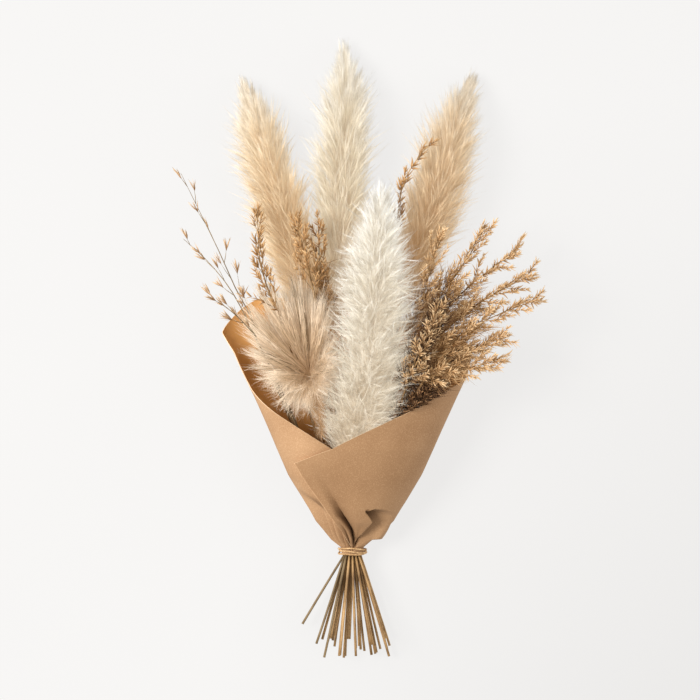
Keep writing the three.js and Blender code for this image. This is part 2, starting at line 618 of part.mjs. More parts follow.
addNode('paper_wrap', KRAFT, keep('paper_wrap', paperWrap()));
addNode('twine_tie', JUTE, keep('twine_tie', twineTie()));

const isIn = (list, head) => list.some(({ name }) => name === head.name);
const leftmost = heads.reduce((a, b) => (b.slot.x < a.slot.x ? b : a));
const drawTail = seededDraws(7);
for (const head of heads) {
  const tail = tailEnd(head, drawTail, head === leftmost);
  if (isIn(SPRAYS, head)) {
    const top = along(curveThrough(head.axis), [[0, 1.2], [0.35, 1.0], [0.7, 0.8], [0.97, 0.6]]);
    head.solids = [keep(head.name, solidFrom(limb(stemRows(head, tail, top), STEM_SIDES)))];
    continue;
  }
  const isLoose = isIn(LOOSE_STEMS, head);
  const name = isLoose ? head.name : `${head.name}_stem`;
  const way = head.axisPoints[1]?.clone().sub(head.base) ?? FAN_LEAN.clone();
  const top = isLoose ? [] : [STEM_SHOULDER, CLEARANCE + 0.05].map((below) => (
    { at: head.base.clone().addScaledVector(way.normalize(), -below), radius: STEM_RADIUS }));
  addNode(name, STRAW, keep(name, solidFrom(limb(stemRows(head, tail, top), STEM_SIDES))));
}
const plumeBodies = PLUMES.map((plume) => [plumeCore(plume)]);
for (const head of heads.filter(({ solids }) => solids)) {
  sprayTwigs(head, head.solids);
  addNode(head.name, head.material, fused(head.solids));
}
addNode(FAN.name, FAN.material, fused(fanPlume()));
PLUMES.forEach((plume, k) => {
  plumeTufts(plume, plumeBodies[k]);
  addNode(plume.name, plume.material, fused(plumeBodies[k]));
});

export default bundle;
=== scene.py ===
"""The looks of a bundle of dried pampas grass that lies on its back, with the camera above it.

Five plumes, oat stems and brown sprays stand in a kraft paper wrap that is tied with jute twine.
The CAD model is the frame: each piece here stands for one or more of its nodes and keeps their place.
All lengths are millimetres until a mesh is made, and +Y runs from the cut stems to the plume tips.
"""

import logging
import math
from collections.abc import Callable
from dataclasses import dataclass, field, replace
from enum import Enum

import bpy
import numpy as np
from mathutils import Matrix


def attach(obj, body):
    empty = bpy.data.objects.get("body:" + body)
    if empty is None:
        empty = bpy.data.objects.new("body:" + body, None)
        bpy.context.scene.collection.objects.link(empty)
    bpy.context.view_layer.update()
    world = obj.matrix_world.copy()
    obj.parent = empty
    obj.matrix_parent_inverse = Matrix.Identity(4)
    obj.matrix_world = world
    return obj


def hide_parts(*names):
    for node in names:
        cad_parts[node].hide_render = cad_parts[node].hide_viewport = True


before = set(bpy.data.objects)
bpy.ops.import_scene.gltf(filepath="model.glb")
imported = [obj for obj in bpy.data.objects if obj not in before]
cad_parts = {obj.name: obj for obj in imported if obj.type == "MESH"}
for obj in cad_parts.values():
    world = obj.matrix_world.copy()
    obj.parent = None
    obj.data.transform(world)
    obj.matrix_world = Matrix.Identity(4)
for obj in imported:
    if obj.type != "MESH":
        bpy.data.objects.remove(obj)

LOG = logging.getLogger("pampas")
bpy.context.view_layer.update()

Array = np.ndarray
Rng = np.random.Generator
Socket = bpy.types.NodeSocket
Points = tuple[tuple[float, ...], ...]
Span = tuple[float, float]
Colour = tuple[float, float, float]

MM = 0.001
TINY = 1e-9
UP = np.array([0.0, 0.0, 1.0])
SIDE_HINT = np.array([0.0, 0.12, 1.0])  # not quite upright, so that no stem runs along it
FULL_TURN = 2 * math.pi
ANY_TURN = 6.3  # upper end of a strand's random turn about its own line, in radians
GOLDEN_ANGLE = math.radians(137.5)
TIE_Y = -130.0
NECK_Z = 17.0
SPAN_STEPS = 24
RAIL_SAMPLES = 200


# ---- Curves and small tools ------------------------------------------------------------------


def unit(vectors: Array) -> Array:
    """Scales vectors to length 1."""
    return vectors / np.maximum(np.linalg.norm(vectors, axis=-1, keepdims=True), TINY)


def perpendicular(ways: Array) -> tuple[Array, Array]:
    """Two directions across each way.

    Args:
        ways: Unit directions, with the three axes last.

    Returns:
        The most upright direction across each way, and the one across both.
    """
    hint = np.broadcast_to(SIDE_HINT, ways.shape)
    first = unit(hint - ways * np.sum(hint * ways, axis=-1, keepdims=True))
    return first, np.cross(ways, first)


def sideways(ways: Array, turn: Array) -> Array:
    """Directions across each way, turned about it by angles in radians."""
    first, second = perpendicular(ways)
    return first * np.cos(turn)[:, None] + second * np.sin(turn)[:, None]


def leaning(ways: Array, sides: Array, lean: Array) -> Array:
    """Directions that lean from each way toward its side by angles in radians."""
    return unit(ways * np.cos(lean)[:, None] + sides * np.sin(lean)[:, None])


def sprouts(place: Array, start: Array, bend: Array, length: Array) -> Array:
    """Quadratic curves that leave their places one way and end another way.

    Args:
        place: Where each one begins, (n, 3).
        start: The way that its first half takes, (n, 3).
        bend: The way that its second half takes, (n, 3).
        length: Its length, (n,).

    Returns:
        Control points, (n, 3, 3).
    """
    half = (length / 2)[:, None]
    return np.stack([place, place + start * half, place + (start + bend) * half], axis=1)


def stretches(knots: Array, bow: Array | float = 0.0) -> Array:
    """Quadratic curves from each knot to the next, with their middles moved by a bow."""
    low, high = knots[:-1], knots[1:]
    return np.stack([low, (low + high) / 2 + bow, high], axis=1)


def bezier(paths: Array, share: Array) -> tuple[Array, Array]:
    """Points and directions on quadratic curves.

    Args:
        paths: Control points, (curves, 3, 3).
        share: Places along them, (curves, n) or (n,).

    Returns:
        Two arrays of (curves, n, 3).
    """
    t = np.broadcast_to(share, (len(paths), np.shape(share)[-1]))[..., None]
    a, b, c = (paths[:, None, k] for k in range(3))
    place = (1 - t) ** 2 * a + 2 * t * (1 - t) * b + t**2 * c
    return place, unit(2 * (1 - t) * (b - a) + 2 * t * (c - b) + TINY)


def spots(paths: Array, share: Array) -> tuple[Array, Array]:
    """One point and one direction on each quadratic curve."""
    place, way = bezier(paths, share[:, None])
    return place[:, 0], way[:, 0]


def look_up(table: Array, key: Array, column: int = 1) -> Array:
    """Reads a column of a table between its rows."""
    return np.interp(key, table[:, 0], table[:, column])


def smooth_step(low: float, high: float, value: Array) -> Array:
    """Goes softly from 0 to 1 as the value goes from low to high, which may be the smaller."""
    t = np.clip((value - low) / (high - low), 0, 1)
    return t * t * (3 - 2 * t)


@dataclass
class Rail:
    """A smooth curve through points, read by the share of its length.

    Args:
        points: The points that it passes, in millimetres.
        length: Its length, which is found from them.
    """

    points: Points
    length: float = field(init=False)

    def __post_init__(self) -> None:
        """Samples the curve evenly along its length."""
        knots = np.array(self.points, float)
        ends = np.vstack([2 * knots[0] - knots[1], knots, 2 * knots[-1] - knots[-2]])
        t = np.linspace(0, 1, SPAN_STEPS, endpoint=False)[:, None]
        spans = []
        for a, b, c, d in zip(ends, ends[1:], ends[2:], ends[3:]):
            bend = (2 * a - 5 * b + 4 * c - d) * t**2 + (3 * b - a - 3 * c + d) * t**3
            spans.append(0.5 * (2 * b + (c - a) * t + bend))
        path = np.vstack([*spans, knots[-1:]])
        run = run_along(path)
        self.length = float(run[-1])
        shares = np.linspace(0, self.length, RAIL_SAMPLES)
        self._places = np.stack([np.interp(shares, run, path[:, k]) for k in range(3)], axis=1)
        self._ways = unit(np.gradient(self._places, axis=0))

    def at(self, share: Array) -> Array:
        """Points at shares of the length."""
        return self._read(self._places, share)

    def way(self, share: Array) -> Array:
        """Unit directions at shares of the length."""
        return unit(self._read(self._ways, share))

    @staticmethod
    def _read(table: Array, share: Array) -> Array:
        """Values of a sampled table at shares of the length."""
        row = np.clip(share, 0, 1) * (len(table) - 1)
        return np.stack([np.interp(row, np.arange(len(table)), table[:, k]) for k in range(3)], axis=-1)


def run_along(path: Array) -> Array:
    """Length of a line of points up to each of them."""
    return np.concatenate([[0], np.cumsum(np.linalg.norm(np.diff(path, axis=0), axis=1))])


# ---- Shapes that are modelled once and copied ------------------------------------------------


def deselect_all() -> None:
    """Leaves nothing selected, so that an operator acts on new work only."""
    for thing in bpy.context.selected_objects:
        thing.select_set(False)


def vertex_places(mesh: bpy.types.Mesh) -> Array:
    """Reads the vertices of a mesh.

    Args:
        mesh: The mesh.

    Returns:
        Places in Blender's units, (n, 3).
    """
    flat = np.empty(len(mesh.vertices) * 3)
    mesh.vertices.foreach_get("co", flat)
    return flat.reshape(-1, 3)


def keep_value(mesh: bpy.types.Mesh, name: str, value: Array) -> None:
    """Keeps a number for each vertex as a named attribute, which the finishes read."""
    mesh.attributes.new(name, "FLOAT", "POINT").data.foreach_set("value", value.astype(np.float32))


@dataclass(frozen=True)
class Template:
    """A small closed shape along a straight line, which copies follow on paths of their own.

    Args:
        across: Places across the line, in radii, (n, 2).
        along: Shares of the line, (n,).
        corners: Three vertices for each triangle, (m, 3).
    """

    across: Array
    along: Array
    corners: Array

    def copies(self, paths: Array, radii: Array | float, turn: Array | float) -> Array:
        """Bends one copy onto each path.

        Args:
            paths: Control points of quadratic curves, (copies, 3, 3).
            radii: A radius for all copies or for each.
            turn: A turn about its own line for all copies or for each, in radians.

        Returns:
            Vertices, (copies, n, 3).
        """
        place, way = bezier(paths, self.along)
        first, second = perpendicular(way)
        radii, turn = (np.broadcast_to(value, len(paths))[:, None] for value in (radii, turn))
        cos, sin = np.cos(turn), np.sin(turn)
        x = (self.across[:, 0] * cos - self.across[:, 1] * sin) * radii
        y = (self.across[:, 0] * sin + self.across[:, 1] * cos) * radii
        return place + first * x[..., None] + second * y[..., None]


def model_template(sides: int, *rings: Span, flatness: float = 1.0) -> Template:
    """Models a tapering shape by extruding a small circle ring by ring.

    Args:
        sides: Corners of each ring.
        *rings: (share of the length, radius) of each ring; a radius of 0 closes it to a point.
        flatness: Thickness over width.

    Returns:
        The shape as a template.
    """
    deselect_all()
    bpy.ops.mesh.primitive_circle_add(vertices=sides, radius=rings[0][1], fill_type="NGON")
    shape = bpy.context.object
    bpy.ops.object.mode_set(mode="EDIT")
    bpy.ops.mesh.select_all(action="SELECT")
    for (share, radius), (next_share, next_radius) in zip(rings, rings[1:]):
        bpy.ops.mesh.extrude_region_move(TRANSFORM_OT_translate={"value": (0, 0, next_share - share)})
        if next_radius > 0:
            bpy.ops.transform.resize(value=(next_radius / radius, next_radius / radius, 1))
        else:
            bpy.ops.mesh.merge(type="CENTER")
    bpy.ops.mesh.select_all(action="SELECT")
    bpy.ops.transform.resize(value=(1, flatness, 1), center_override=(0, 0, 0))
    bpy.ops.mesh.quads_convert_to_tris()
    bpy.ops.mesh.normals_make_consistent(inside=False)
    bpy.ops.object.mode_set(mode="OBJECT")
    mesh = shape.data
    place = vertex_places(mesh)
    corners = np.array([list(face.vertices) for face in mesh.polygons], int)
    bpy.data.objects.remove(shape)
    bpy.data.meshes.remove(mesh)
    return Template(place[:, :2], np.clip(place[:, 2], 0, 1), corners)


class Pile:
    """Gathers copies of templates and makes them one mesh object."""

    def __init__(self) -> None:
        """Starts empty."""
        self._vertices: list[Array] = []
        self._corners: list[Array] = []
        self._values: dict[str, list[Array]] = {}
        self._count = 0

    def add(self, template: Template, vertices: Array, **values: Array | float) -> None:
        """Adds bent copies of a template.

        Args:
            template: The shape that they are copies of.
            vertices: (copies, n, 3).
            **values: One number, or one for each copy or vertex, kept as a named attribute.
        """
        copies, each = vertices.shape[:2]
        starts = self._count + np.arange(copies) * each
        self._vertices.append(vertices.reshape(-1, 3))
        self._corners.append((template.corners[None] + starts[:, None, None]).reshape(-1, 3))
        for name, value in values.items():
            value = np.asarray(value, float)
            full = np.broadcast_to(value[:, None] if value.ndim == 1 else value, (copies, each))
            self._values.setdefault(name, []).append(full.ravel())
        self._count += copies * each

    def grow(self, template: Template, paths: Array, radii: Array | float, turn: Array | float,
             **values: Array | float) -> None:
        """Bends a copy of a template onto each path and adds them all."""
        self.add(template, template.copies(paths, radii, turn), **values)

    def to_object(self, name: str, material: bpy.types.Material,
                  shape: Callable[[Array], Array]) -> bpy.types.Object:
        """Makes the pile one smooth mesh object of triangles.

        Args:
            name: Name of the piece.
            material: Its material.
            shape: Moves the vertices a last time.

        Returns:
            The object, at the origin and linked to the scene.
        """
        vertices, corners = shape(np.vstack(self._vertices)), np.vstack(self._corners)
        mesh = bpy.data.meshes.new(name)
        mesh.vertices.add(len(vertices))
        mesh.vertices.foreach_set("co", (vertices * MM).astype(np.float32).ravel())
        mesh.loops.add(corners.size)
        mesh.loops.foreach_set("vertex_index", corners.astype(np.int32).ravel())
        mesh.polygons.add(len(corners))
        mesh.polygons.foreach_set("loop_start", np.arange(0, corners.size, 3, dtype=np.int32))
        mesh.polygons.foreach_set("use_smooth", np.ones(len(corners), bool))
        for key, parts in self._values.items():
            keep_value(mesh, key, np.concatenate(parts))
        mesh.update(calc_edges=True)
        mesh.materials.append(material)
        piece = bpy.data.objects.new(name, mesh)
        bpy.context.scene.collection.objects.link(piece)
        return piece


def put_on(piece: bpy.types.Object, slot: str, *nodes: str) -> None:
    """Fixes a piece to the bundle and hides the CAD nodes that it stands for.

    Args:
        piece: The piece.
        slot: Its material slot; not used.
        *nodes: The CAD nodes.
    """
    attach(piece, "root")
    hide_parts(*nodes)
    LOG.info("%s: %d faces", piece.name, len(piece.data.polygons))


# ---- Finishes --------------------------------------------------------------------------------


STALK_STOPS = (0.04, 0.48, 0.86)  # where the colours of root, middle and tip are
PATCH_STOPS = (0.32, 0.62)  # where the colours of dark patches and of the rest are


def linear(colour: Colour) -> Colour:
    """A screen colour from 0 to 255 as Blender's linear colour."""
    shares = (value / 255 for value in colour)
    return tuple(share / 12.92 if share <= 0.04045 else ((share + 0.055) / 1.055) ** 2.4 for share in shares)


class NodeDesk:
    """Adds and links shader nodes in one tree.

    Args:
        tree: The node tree of a material or a group.
    """

    def __init__(self, tree: bpy.types.NodeTree) -> None:
        """Takes the tree."""
        self.tree = tree

    def feed(self, node: bpy.types.Node, inputs: dict) -> None:
        """Sets the inputs of a node.

        Args:
            node: The node.
            inputs: Values or output sockets for its inputs, by name or number.
        """
        for key, value in inputs.items():
            if isinstance(value, Socket):
                self.tree.links.new(value, node.inputs[key])
            else:
                node.inputs[key].default_value = value

    def add(self, kind: str, inputs: dict | None = None, **settings) -> bpy.types.Node:
        """Adds a node.

        Args:
            kind: Blender's name of its type, without ShaderNode.
            inputs: Values or output sockets for its inputs, by name or number.
            **settings: Properties of the node.

        Returns:
            The node.
        """
        node = self.tree.nodes.new("ShaderNode" + kind)
        for key, value in settings.items():
            setattr(node, key, value)
        self.feed(node, inputs or {})
        return node

    def place(self) -> Socket:
        """The place on the object, from its own coordinates."""
        return self.add("TexCoord").outputs["Object"]

    def attribute(self, name: str) -> Socket:
        """A number that the mesh keeps for each vertex."""
        return self.add("Attribute", attribute_name=name).outputs["Fac"]

    def noise(self, **inputs) -> Socket:
        """A noise from 0 to 1; the inputs are named without their spaces."""
        return self.add("TexNoise", inputs).outputs["Fac"]

    def ramp(self, value: Socket, *stops: tuple[float, Colour]) -> Socket:
        """A colour that runs through stops as a value goes from 0 to 1.

        Args:
            value: The value.
            *stops: (value, linear colour), in rising order.

        Returns:
            The colour.
        """
        node = self.add("ValToRGB", {0: value})
        elements = node.color_ramp.elements
        while len(elements) < len(stops):
            elements.new(0.5)
        for element, (position, colour) in zip(elements, stops):
            element.position = position
            element.color = (*colour, 1)
        return node.outputs["Color"]

    def mix(self, factor: Socket, first: Socket, second: Colour) -> Socket:
        """A colour that goes to a second one as the factor goes from 0 to 1."""
        return self.add("MixRGB", {0: factor, 1: first, 2: (*second, 1)}).outputs[0]

    def math(self, operation: str, *values: Socket | float) -> Socket:
        """One sum on numbers or sockets."""
        return self.add("Math", dict(enumerate(values)), operation=operation).outputs[0]

    def tint(self, colour: Socket, factor: Socket) -> Socket:
        """A colour or a place multiplied by another one, axis by axis."""
        return self.add("VectorMath", {0: colour, 1: factor}, operation="MULTIPLY").outputs[0]

    def dim(self, colour: Socket, factor: float) -> Socket:
        """A colour made lighter or darker by a factor."""
        return self.add("VectorMath", {0: colour, "Scale": factor}, operation="SCALE").outputs[0]

    def combine(self, *values: Socket) -> Socket:
        """Three numbers as one vector."""
        return self.add("CombineXYZ", dict(enumerate(values))).outputs[0]

    def share_of(self, value: Socket, low: float, high: float) -> Socket:
        """Goes from 0 to 1 as a value goes from low to high."""
        return self.add("MapRange", {"Value": value, "From Min": low, "From Max": high}).outputs[0]

    def between(self, share: Socket, low: float, high: float) -> Socket:
        """Goes from low to high as a share goes from 0 to 1."""
        return self.add("MapRange", {"Value": share, "To Min": low, "To Max": high}).outputs[0]


def shared_group(name: str, inputs: dict[str, float | None],
                 outputs: dict[str, str]) -> tuple[NodeDesk, bpy.types.Node, bpy.types.Node]:
    """Starts a shader node group with named sockets.

    Args:
        name: Name of the group.
        inputs: First values of its number inputs by name; None makes a vector input.
        outputs: Types of its output sockets by name.

    Returns:
        A desk for its nodes, its input node and its output node.
    """
    group = bpy.data.node_groups.new(name, "ShaderNodeTree")
    for key, value in inputs.items():
        kind = "NodeSocketVector" if value is None else "NodeSocketFloat"
        socket = group.interface.new_socket(key, in_out="INPUT", socket_type=kind)
        if value is not None:
            socket.default_value = value
    for key, kind in outputs.items():
        group.interface.new_socket(key, in_out="OUTPUT", socket_type=kind)
    return NodeDesk(group), group.nodes.new("NodeGroupInput"), group.nodes.new("NodeGroupOutput")


@dataclass(frozen=True)
class Effects:
    """Shader node groups that several finishes share.

    Args:
        dry_tone: Light and dark on dried plant matter and paper.
        fibres: Fine fibres along one way.
    """

    dry_tone: bpy.types.NodeTree
    fibres: bpy.types.NodeTree

    @classmethod
    def build(cls) -> "Effects":
        """Builds the groups once."""
        return cls(cls._dry_tone(), cls._fibres())

    @staticmethod
    def _dry_tone() -> bpy.types.NodeTree:
        """Light and dark from one dried stalk to the next, and in patches along it; the dark is warmer, which
        on the paper's painted shade stands in for light bounced in the hollows.

        Returns:
            The group, with the factor for each colour channel.
        """
        inputs = {"Vector": None, "Tone": 0.5, "Patch size": 12.0, "Strength": 0.2}
        darkest, green_fall, blue_fall = 0.03, 1.14, 1.36
        desk, start, end = shared_group("Dry tone", inputs, {"Factor": "NodeSocketVector"})
        size = desk.math("DIVIDE", 1 / MM, start.outputs["Patch size"])
        patches = desk.noise(Vector=start.outputs["Vector"], Scale=size, Detail=3.0)
        both = desk.math("ADD", patches, start.outputs["Tone"])
        swing = desk.math("MULTIPLY", desk.math("SUBTRACT", both, 1.0), start.outputs["Strength"])
        factor = desk.math("MAXIMUM", desk.math("ADD", swing, 1.0), darkest)
        green, blue = (desk.math("POWER", factor, fall) for fall in (green_fall, blue_fall))
        desk.feed(end, {"Factor": desk.combine(factor, green, blue)})
        return desk.tree

    @staticmethod
    def _fibres() -> bpy.types.NodeTree:
        """Fine fibres: noise that is drawn out along one way.

        Returns:
            The group, with a mask and a height.
        """
        inputs = {"Vector": None, "Width": 0.3, "Stretch": 14.0}
        kinds = {"Mask": "NodeSocketFloat", "Height": "NodeSocketFloat"}
        desk, start, end = shared_group("Fibres", inputs, kinds)
        scale = desk.math("DIVIDE", 1 / MM, start.outputs["Width"])
        slow = desk.math("DIVIDE", scale, start.outputs["Stretch"])
        drawn = desk.tint(start.outputs["Vector"], desk.combine(scale, slow, scale))
        noise = desk.noise(Vector=drawn, Scale=1.0, Detail=4.0, Roughness=0.6)
        desk.feed(end, {"Mask": desk.share_of(noise, 0.48, 0.72), "Height": noise})
        return desk.tree


def new_material(name: str) -> tuple[bpy.types.Material, NodeDesk, bpy.types.Node]:
    """A material with a Principled BSDF.

    Args:
        name: Name of the material.

    Returns:
        The material, a desk for its nodes and its shader.
    """
    material = bpy.data.materials.new(name)
    material.use_nodes = True
    return material, NodeDesk(material.node_tree), material.node_tree.nodes["Principled BSDF"]


@dataclass(frozen=True)
class StalkFinish:
    """Dried plant matter whose colour runs from root to tip, such as plume hair or spikelets.

    Args:
        name: Name of the material.
        root: Screen colour at the root.
        middle: Screen colour half way.
        tip: Screen colour at the tip.
        roughness: How dull it is.
        variety: Difference in tone from piece to piece.
        sheen: Soft light along the edges of silky hair.
        painted_glow: Emission as a share of its colour: painted light that stands in for light passing
            through thin hair.
    """

    name: str
    root: Colour
    middle: Colour
    tip: Colour
    roughness: float = 0.62
    variety: float = 0.6
    sheen: float = 0.0
    painted_glow: float = 0.0

    def make(self, effects: Effects) -> bpy.types.Material:
        """Builds the material.

        Args:
            effects: The shared shader groups.

        Returns:
            The material.
        """
        material, desk, shader = new_material(self.name)
        tone = desk.attribute("tone")
        colours = map(linear, (self.root, self.middle, self.tip))
        colour = desk.ramp(desk.attribute("reach"), *zip(STALK_STOPS, colours))
        inputs = {"Vector": desk.place(), "Tone": tone, "Strength": self.variety}
        dry = desk.add("Group", inputs, node_tree=effects.dry_tone)
        shaded = desk.tint(colour, dry.outputs["Factor"])
        # painted light: part of the colour is emitted, not lit, standing in for light through thin hair
        desk.feed(shader, {
            "Base Color": desk.dim(shaded, 1 - self.painted_glow),
            "Roughness": desk.between(tone, self.roughness - 0.06, self.roughness + 0.1),
            "Emission Color": shaded,
            "Emission Strength": self.painted_glow,
            "Sheen Weight": self.sheen,
            "Sheen Roughness": 0.5,
            "Specular IOR Level": 0.3})
        return material


@dataclass(frozen=True)
class FibreFinish:
    """A surface with fine fibres along one way: straw, jute or kraft paper.

    Args:
        name: Name of the material.
        base: Its screen colour.
        light: Screen colour of its pale fibres.
        dark: Screen colour of its dark patches.
        width: Width of a fibre in millimetres.
        stretch: Length of a fibre over its width.
        patch: Size of the patches in millimetres.
        strength: How much the patches differ.
        fleck: How far the pale fibres show.
        roughness: How dull it is.
        bump: Strength of the bumps.
        depth: Their depth in millimetres.
        run: The attribute that makes it lighter or darker; on the paper it carries painted light and shade.
    """

    name: str
    base: Colour
    light: Colour
    dark: Colour
    width: float
    stretch: float
    patch: float
    strength: float
    fleck: float
    roughness: float
    bump: float
    depth: float
    run: str = "tone"

    def make(self, effects: Effects) -> bpy.types.Material:
        """Builds the material.

        Args:
            effects: The shared shader groups.

        Returns:
            The material.
        """
        material, desk, shader = new_material(self.name)
        place = desk.place()
        inputs = {"Vector": place, "Width": self.width, "Stretch": self.stretch}
        fibres = desk.add("Group", inputs, node_tree=effects.fibres).outputs
        inputs = {"Vector": place, "Tone": desk.attribute(self.run), "Patch size": self.patch,
                  "Strength": self.strength}
        dry = desk.add("Group", inputs, node_tree=effects.dry_tone)
        patches = desk.noise(Vector=place, Scale=1 / MM / self.patch, Detail=2.0)
        colour = desk.ramp(patches, *zip(PATCH_STOPS, map(linear, (self.dark, self.base))))
        pale = desk.math("MULTIPLY", fibres["Mask"], self.fleck)
        inputs = {"Height": fibres["Height"], "Strength": self.bump, "Distance": self.depth * MM}
        desk.feed(shader, {
            "Base Color": desk.tint(desk.mix(pale, colour, linear(self.light)), dry.outputs["Factor"]),
            "Roughness": desk.between(fibres["Height"], self.roughness - 0.08, self.roughness + 0.08),
            "Normal": desk.add("Bump", inputs).outputs["Normal"],
            "Specular IOR Level": 0.25})
        return material


# ---- Colours: root, middle and tip, or base, pale fibres and dark patches --------------------

# the emission in these finishes is painted light that stands in for light through thin hair, bracts and
# fibres
GOLDEN = StalkFinish("golden_hair", (206, 158, 100), (243, 218, 180), (248, 237, 218), sheen=0.1, painted_glow=0.36,
                     variety=0.34)
CREAM = replace(GOLDEN, name="cream_hair", root=(184, 138, 84), middle=(239, 224, 196), tip=(252, 246, 234),
                painted_glow=0.38)
TAN = replace(GOLDEN, name="tan_hair", root=(192, 142, 84), middle=(234, 207, 169), tip=(246, 234, 214))
IVORY = replace(GOLDEN, name="ivory_hair", root=(224, 203, 172), middle=(241, 232, 214), tip=(255, 253, 247),
                painted_glow=0.4, variety=0.56)
BLUSH = replace(GOLDEN, name="blush_fibres", root=(180, 140, 98), middle=(212, 181, 144), tip=(240, 219, 192),
                painted_glow=0.32, variety=0.56)
BROWN = StalkFinish("brown_bracts", (124, 85, 46), (198, 158, 112), (226, 196, 154), painted_glow=0.28)
# the low bushy sprays deep in the wrap: partly their own dark colour, partly painted shade
DARK_BROWN = StalkFinish("dark_bracts", (50, 29, 14), (94, 62, 35), (160, 122, 84), painted_glow=0.05)
CHAFF = StalkFinish("golden_chaff", (108, 70, 34), (174, 131, 84), (212, 174, 126), painted_glow=0.2, variety=0.5)
# near-black bristles that fill the shade between twigs: painted shade
SHADE = StalkFinish("painted_shade_bristles", (40, 23, 10), (70, 44, 22), (112, 78, 46), painted_glow=0.04)
OAT = StalkFinish("oat_glumes", (116, 90, 62), (170, 134, 98), (212, 182, 146), painted_glow=0.12, variety=0.35)
STRAW = FibreFinish("straw", (162, 128, 85), (196, 166, 122), (122, 92, 57), width=0.5, stretch=30, patch=30,
                    strength=0.5, fleck=0.45, roughness=0.55, bump=0.35, depth=0.25)
OLIVE = replace(STRAW, name="oat_straw", base=(134, 114, 84), light=(168, 148, 114), dark=(106, 88, 62),
                fleck=0.3, roughness=0.6)
JUTE = FibreFinish("jute", (206, 170, 124), (232, 204, 164), (166, 128, 84), width=0.35, stretch=4, patch=6,
                   strength=0.4, fleck=0.5, roughness=0.85, bump=0.5, depth=0.2)
KRAFT = FibreFinish("kraft_outside", (148, 114, 81), (188, 154, 118), (138, 104, 72), width=1.05, stretch=1.6,
                    patch=60, strength=0.12, fleck=0.44, roughness=0.82, bump=0.4, depth=0.15)
# the inside's bright orange is partly painted light through the paper, and it darkens with depth deeper in
# the wrap as painted shade
KRAFT_IN = replace(KRAFT, name="kraft_inside", base=(194, 144, 86), light=(208, 160, 104),
                   dark=(178, 127, 71), width=0.7, strength=1.3, fleck=0.3, bump=0.25, depth=0.12,
                   run="depth")
# the lighter rim is partly the paper's paler cut edge and partly a painted highlight along it
KRAFT_EDGE = replace(KRAFT, name="kraft_edge", base=(214, 184, 148), light=(230, 204, 172),
                     dark=(198, 164, 126), width=0.7, strength=0.1, fleck=0.35, roughness=0.85, bump=0.2,
                     depth=0.1)


# ---- The paper wrap and what it holds back ---------------------------------------------------

# Distance past the twine -> half width, half height and middle height of the wrap.
WRAP_SECTION = np.array([
    (-4, 12.0, 12.0, NECK_Z), (4, 12.0, 12.0, NECK_Z), (14, 25, 20, 20.5), (36, 44, 31, 29),
    (51, 52, 36, 33), (89, 74, 45, 42), (120, 87.5, 52, 48), (178, 111.5, 60, 54),
    (228, 134, 64, 56), (251, 151, 65, 56), (340, 172, 66, 56)])
# Angle round the wrap, in degrees from the right side over the front -> reach past the twine.
WRAP_EDGE = np.array([
    (80, 95), (107, 121), (135, 150), (165, 177), (175, 187), (184, 223), (191, 251), (206, 267),
    (217, 280), (227, 290), (238, 292), (250, 288), (270, 278), (290, 266), (310, 254), (330, 242),
    (346, 230), (356, 208), (365, 200), (392, 186), (406, 171), (426, 155), (467, 121), (499, 104)])
# Distance past the twine -> angle where the outer flap ends.
FLAP_END = np.array([(-4, 455), (4, 457), (13, 464), (26, 470.5), (36, 475.5), (47, 481.5), (59, 486.3),
                     (74, 491), (104, 497)])
# Distance past the twine -> angle of the tongue of paper left of the pocket.
TONGUE = np.array([(4, 447), (8.5, 444), (22, 432), (36, 421.5), (49, 436), (60, 440)])
# Angle -> distance past the twine of the arch over the pocket.
ARCH = np.array([(370, 40), (385, 44), (407, 49.5), (422, 51.5), (436, 49), (445, 46)])
# Distance past the twine -> share of the radius that the under layer goes in beside the flap.
GROOVE = np.array([(4, 0), (12, 0.26), (30, 0.2), (52, 0.12), (80, 0.07), (108, 0.0)])

LAP_TOP = 140.0  # the outer layer covers the paper up to this angle
PLEAT_REACH = 100.0  # distance past the twine where a fold has its upper width
NECK_SHIFT, NECK_SHIFT_END = 2.0, 60.0  # the wrap's middle moves this far right up to this distance
CORNER_ANGLE = 372.0  # middle of the free bottom corner on the right
CORNER_EDGE = (14.2, 15.0)  # the corner's lower edge, past the twine
HAIR_TOP = 136.0  # hair over this height is pressed down
HAIR_PRESS = 0.3  # to this share of its height over it
HAIR_LOW = 1.0  # and none is lower than this


class Fold(Enum):
    """The ways in which the paper is folded near the neck."""

    PLEAT = "a narrow valley that runs into the tie"
    TUCK = "a sharp valley with a steep wall on its left and a slow rise on its right"


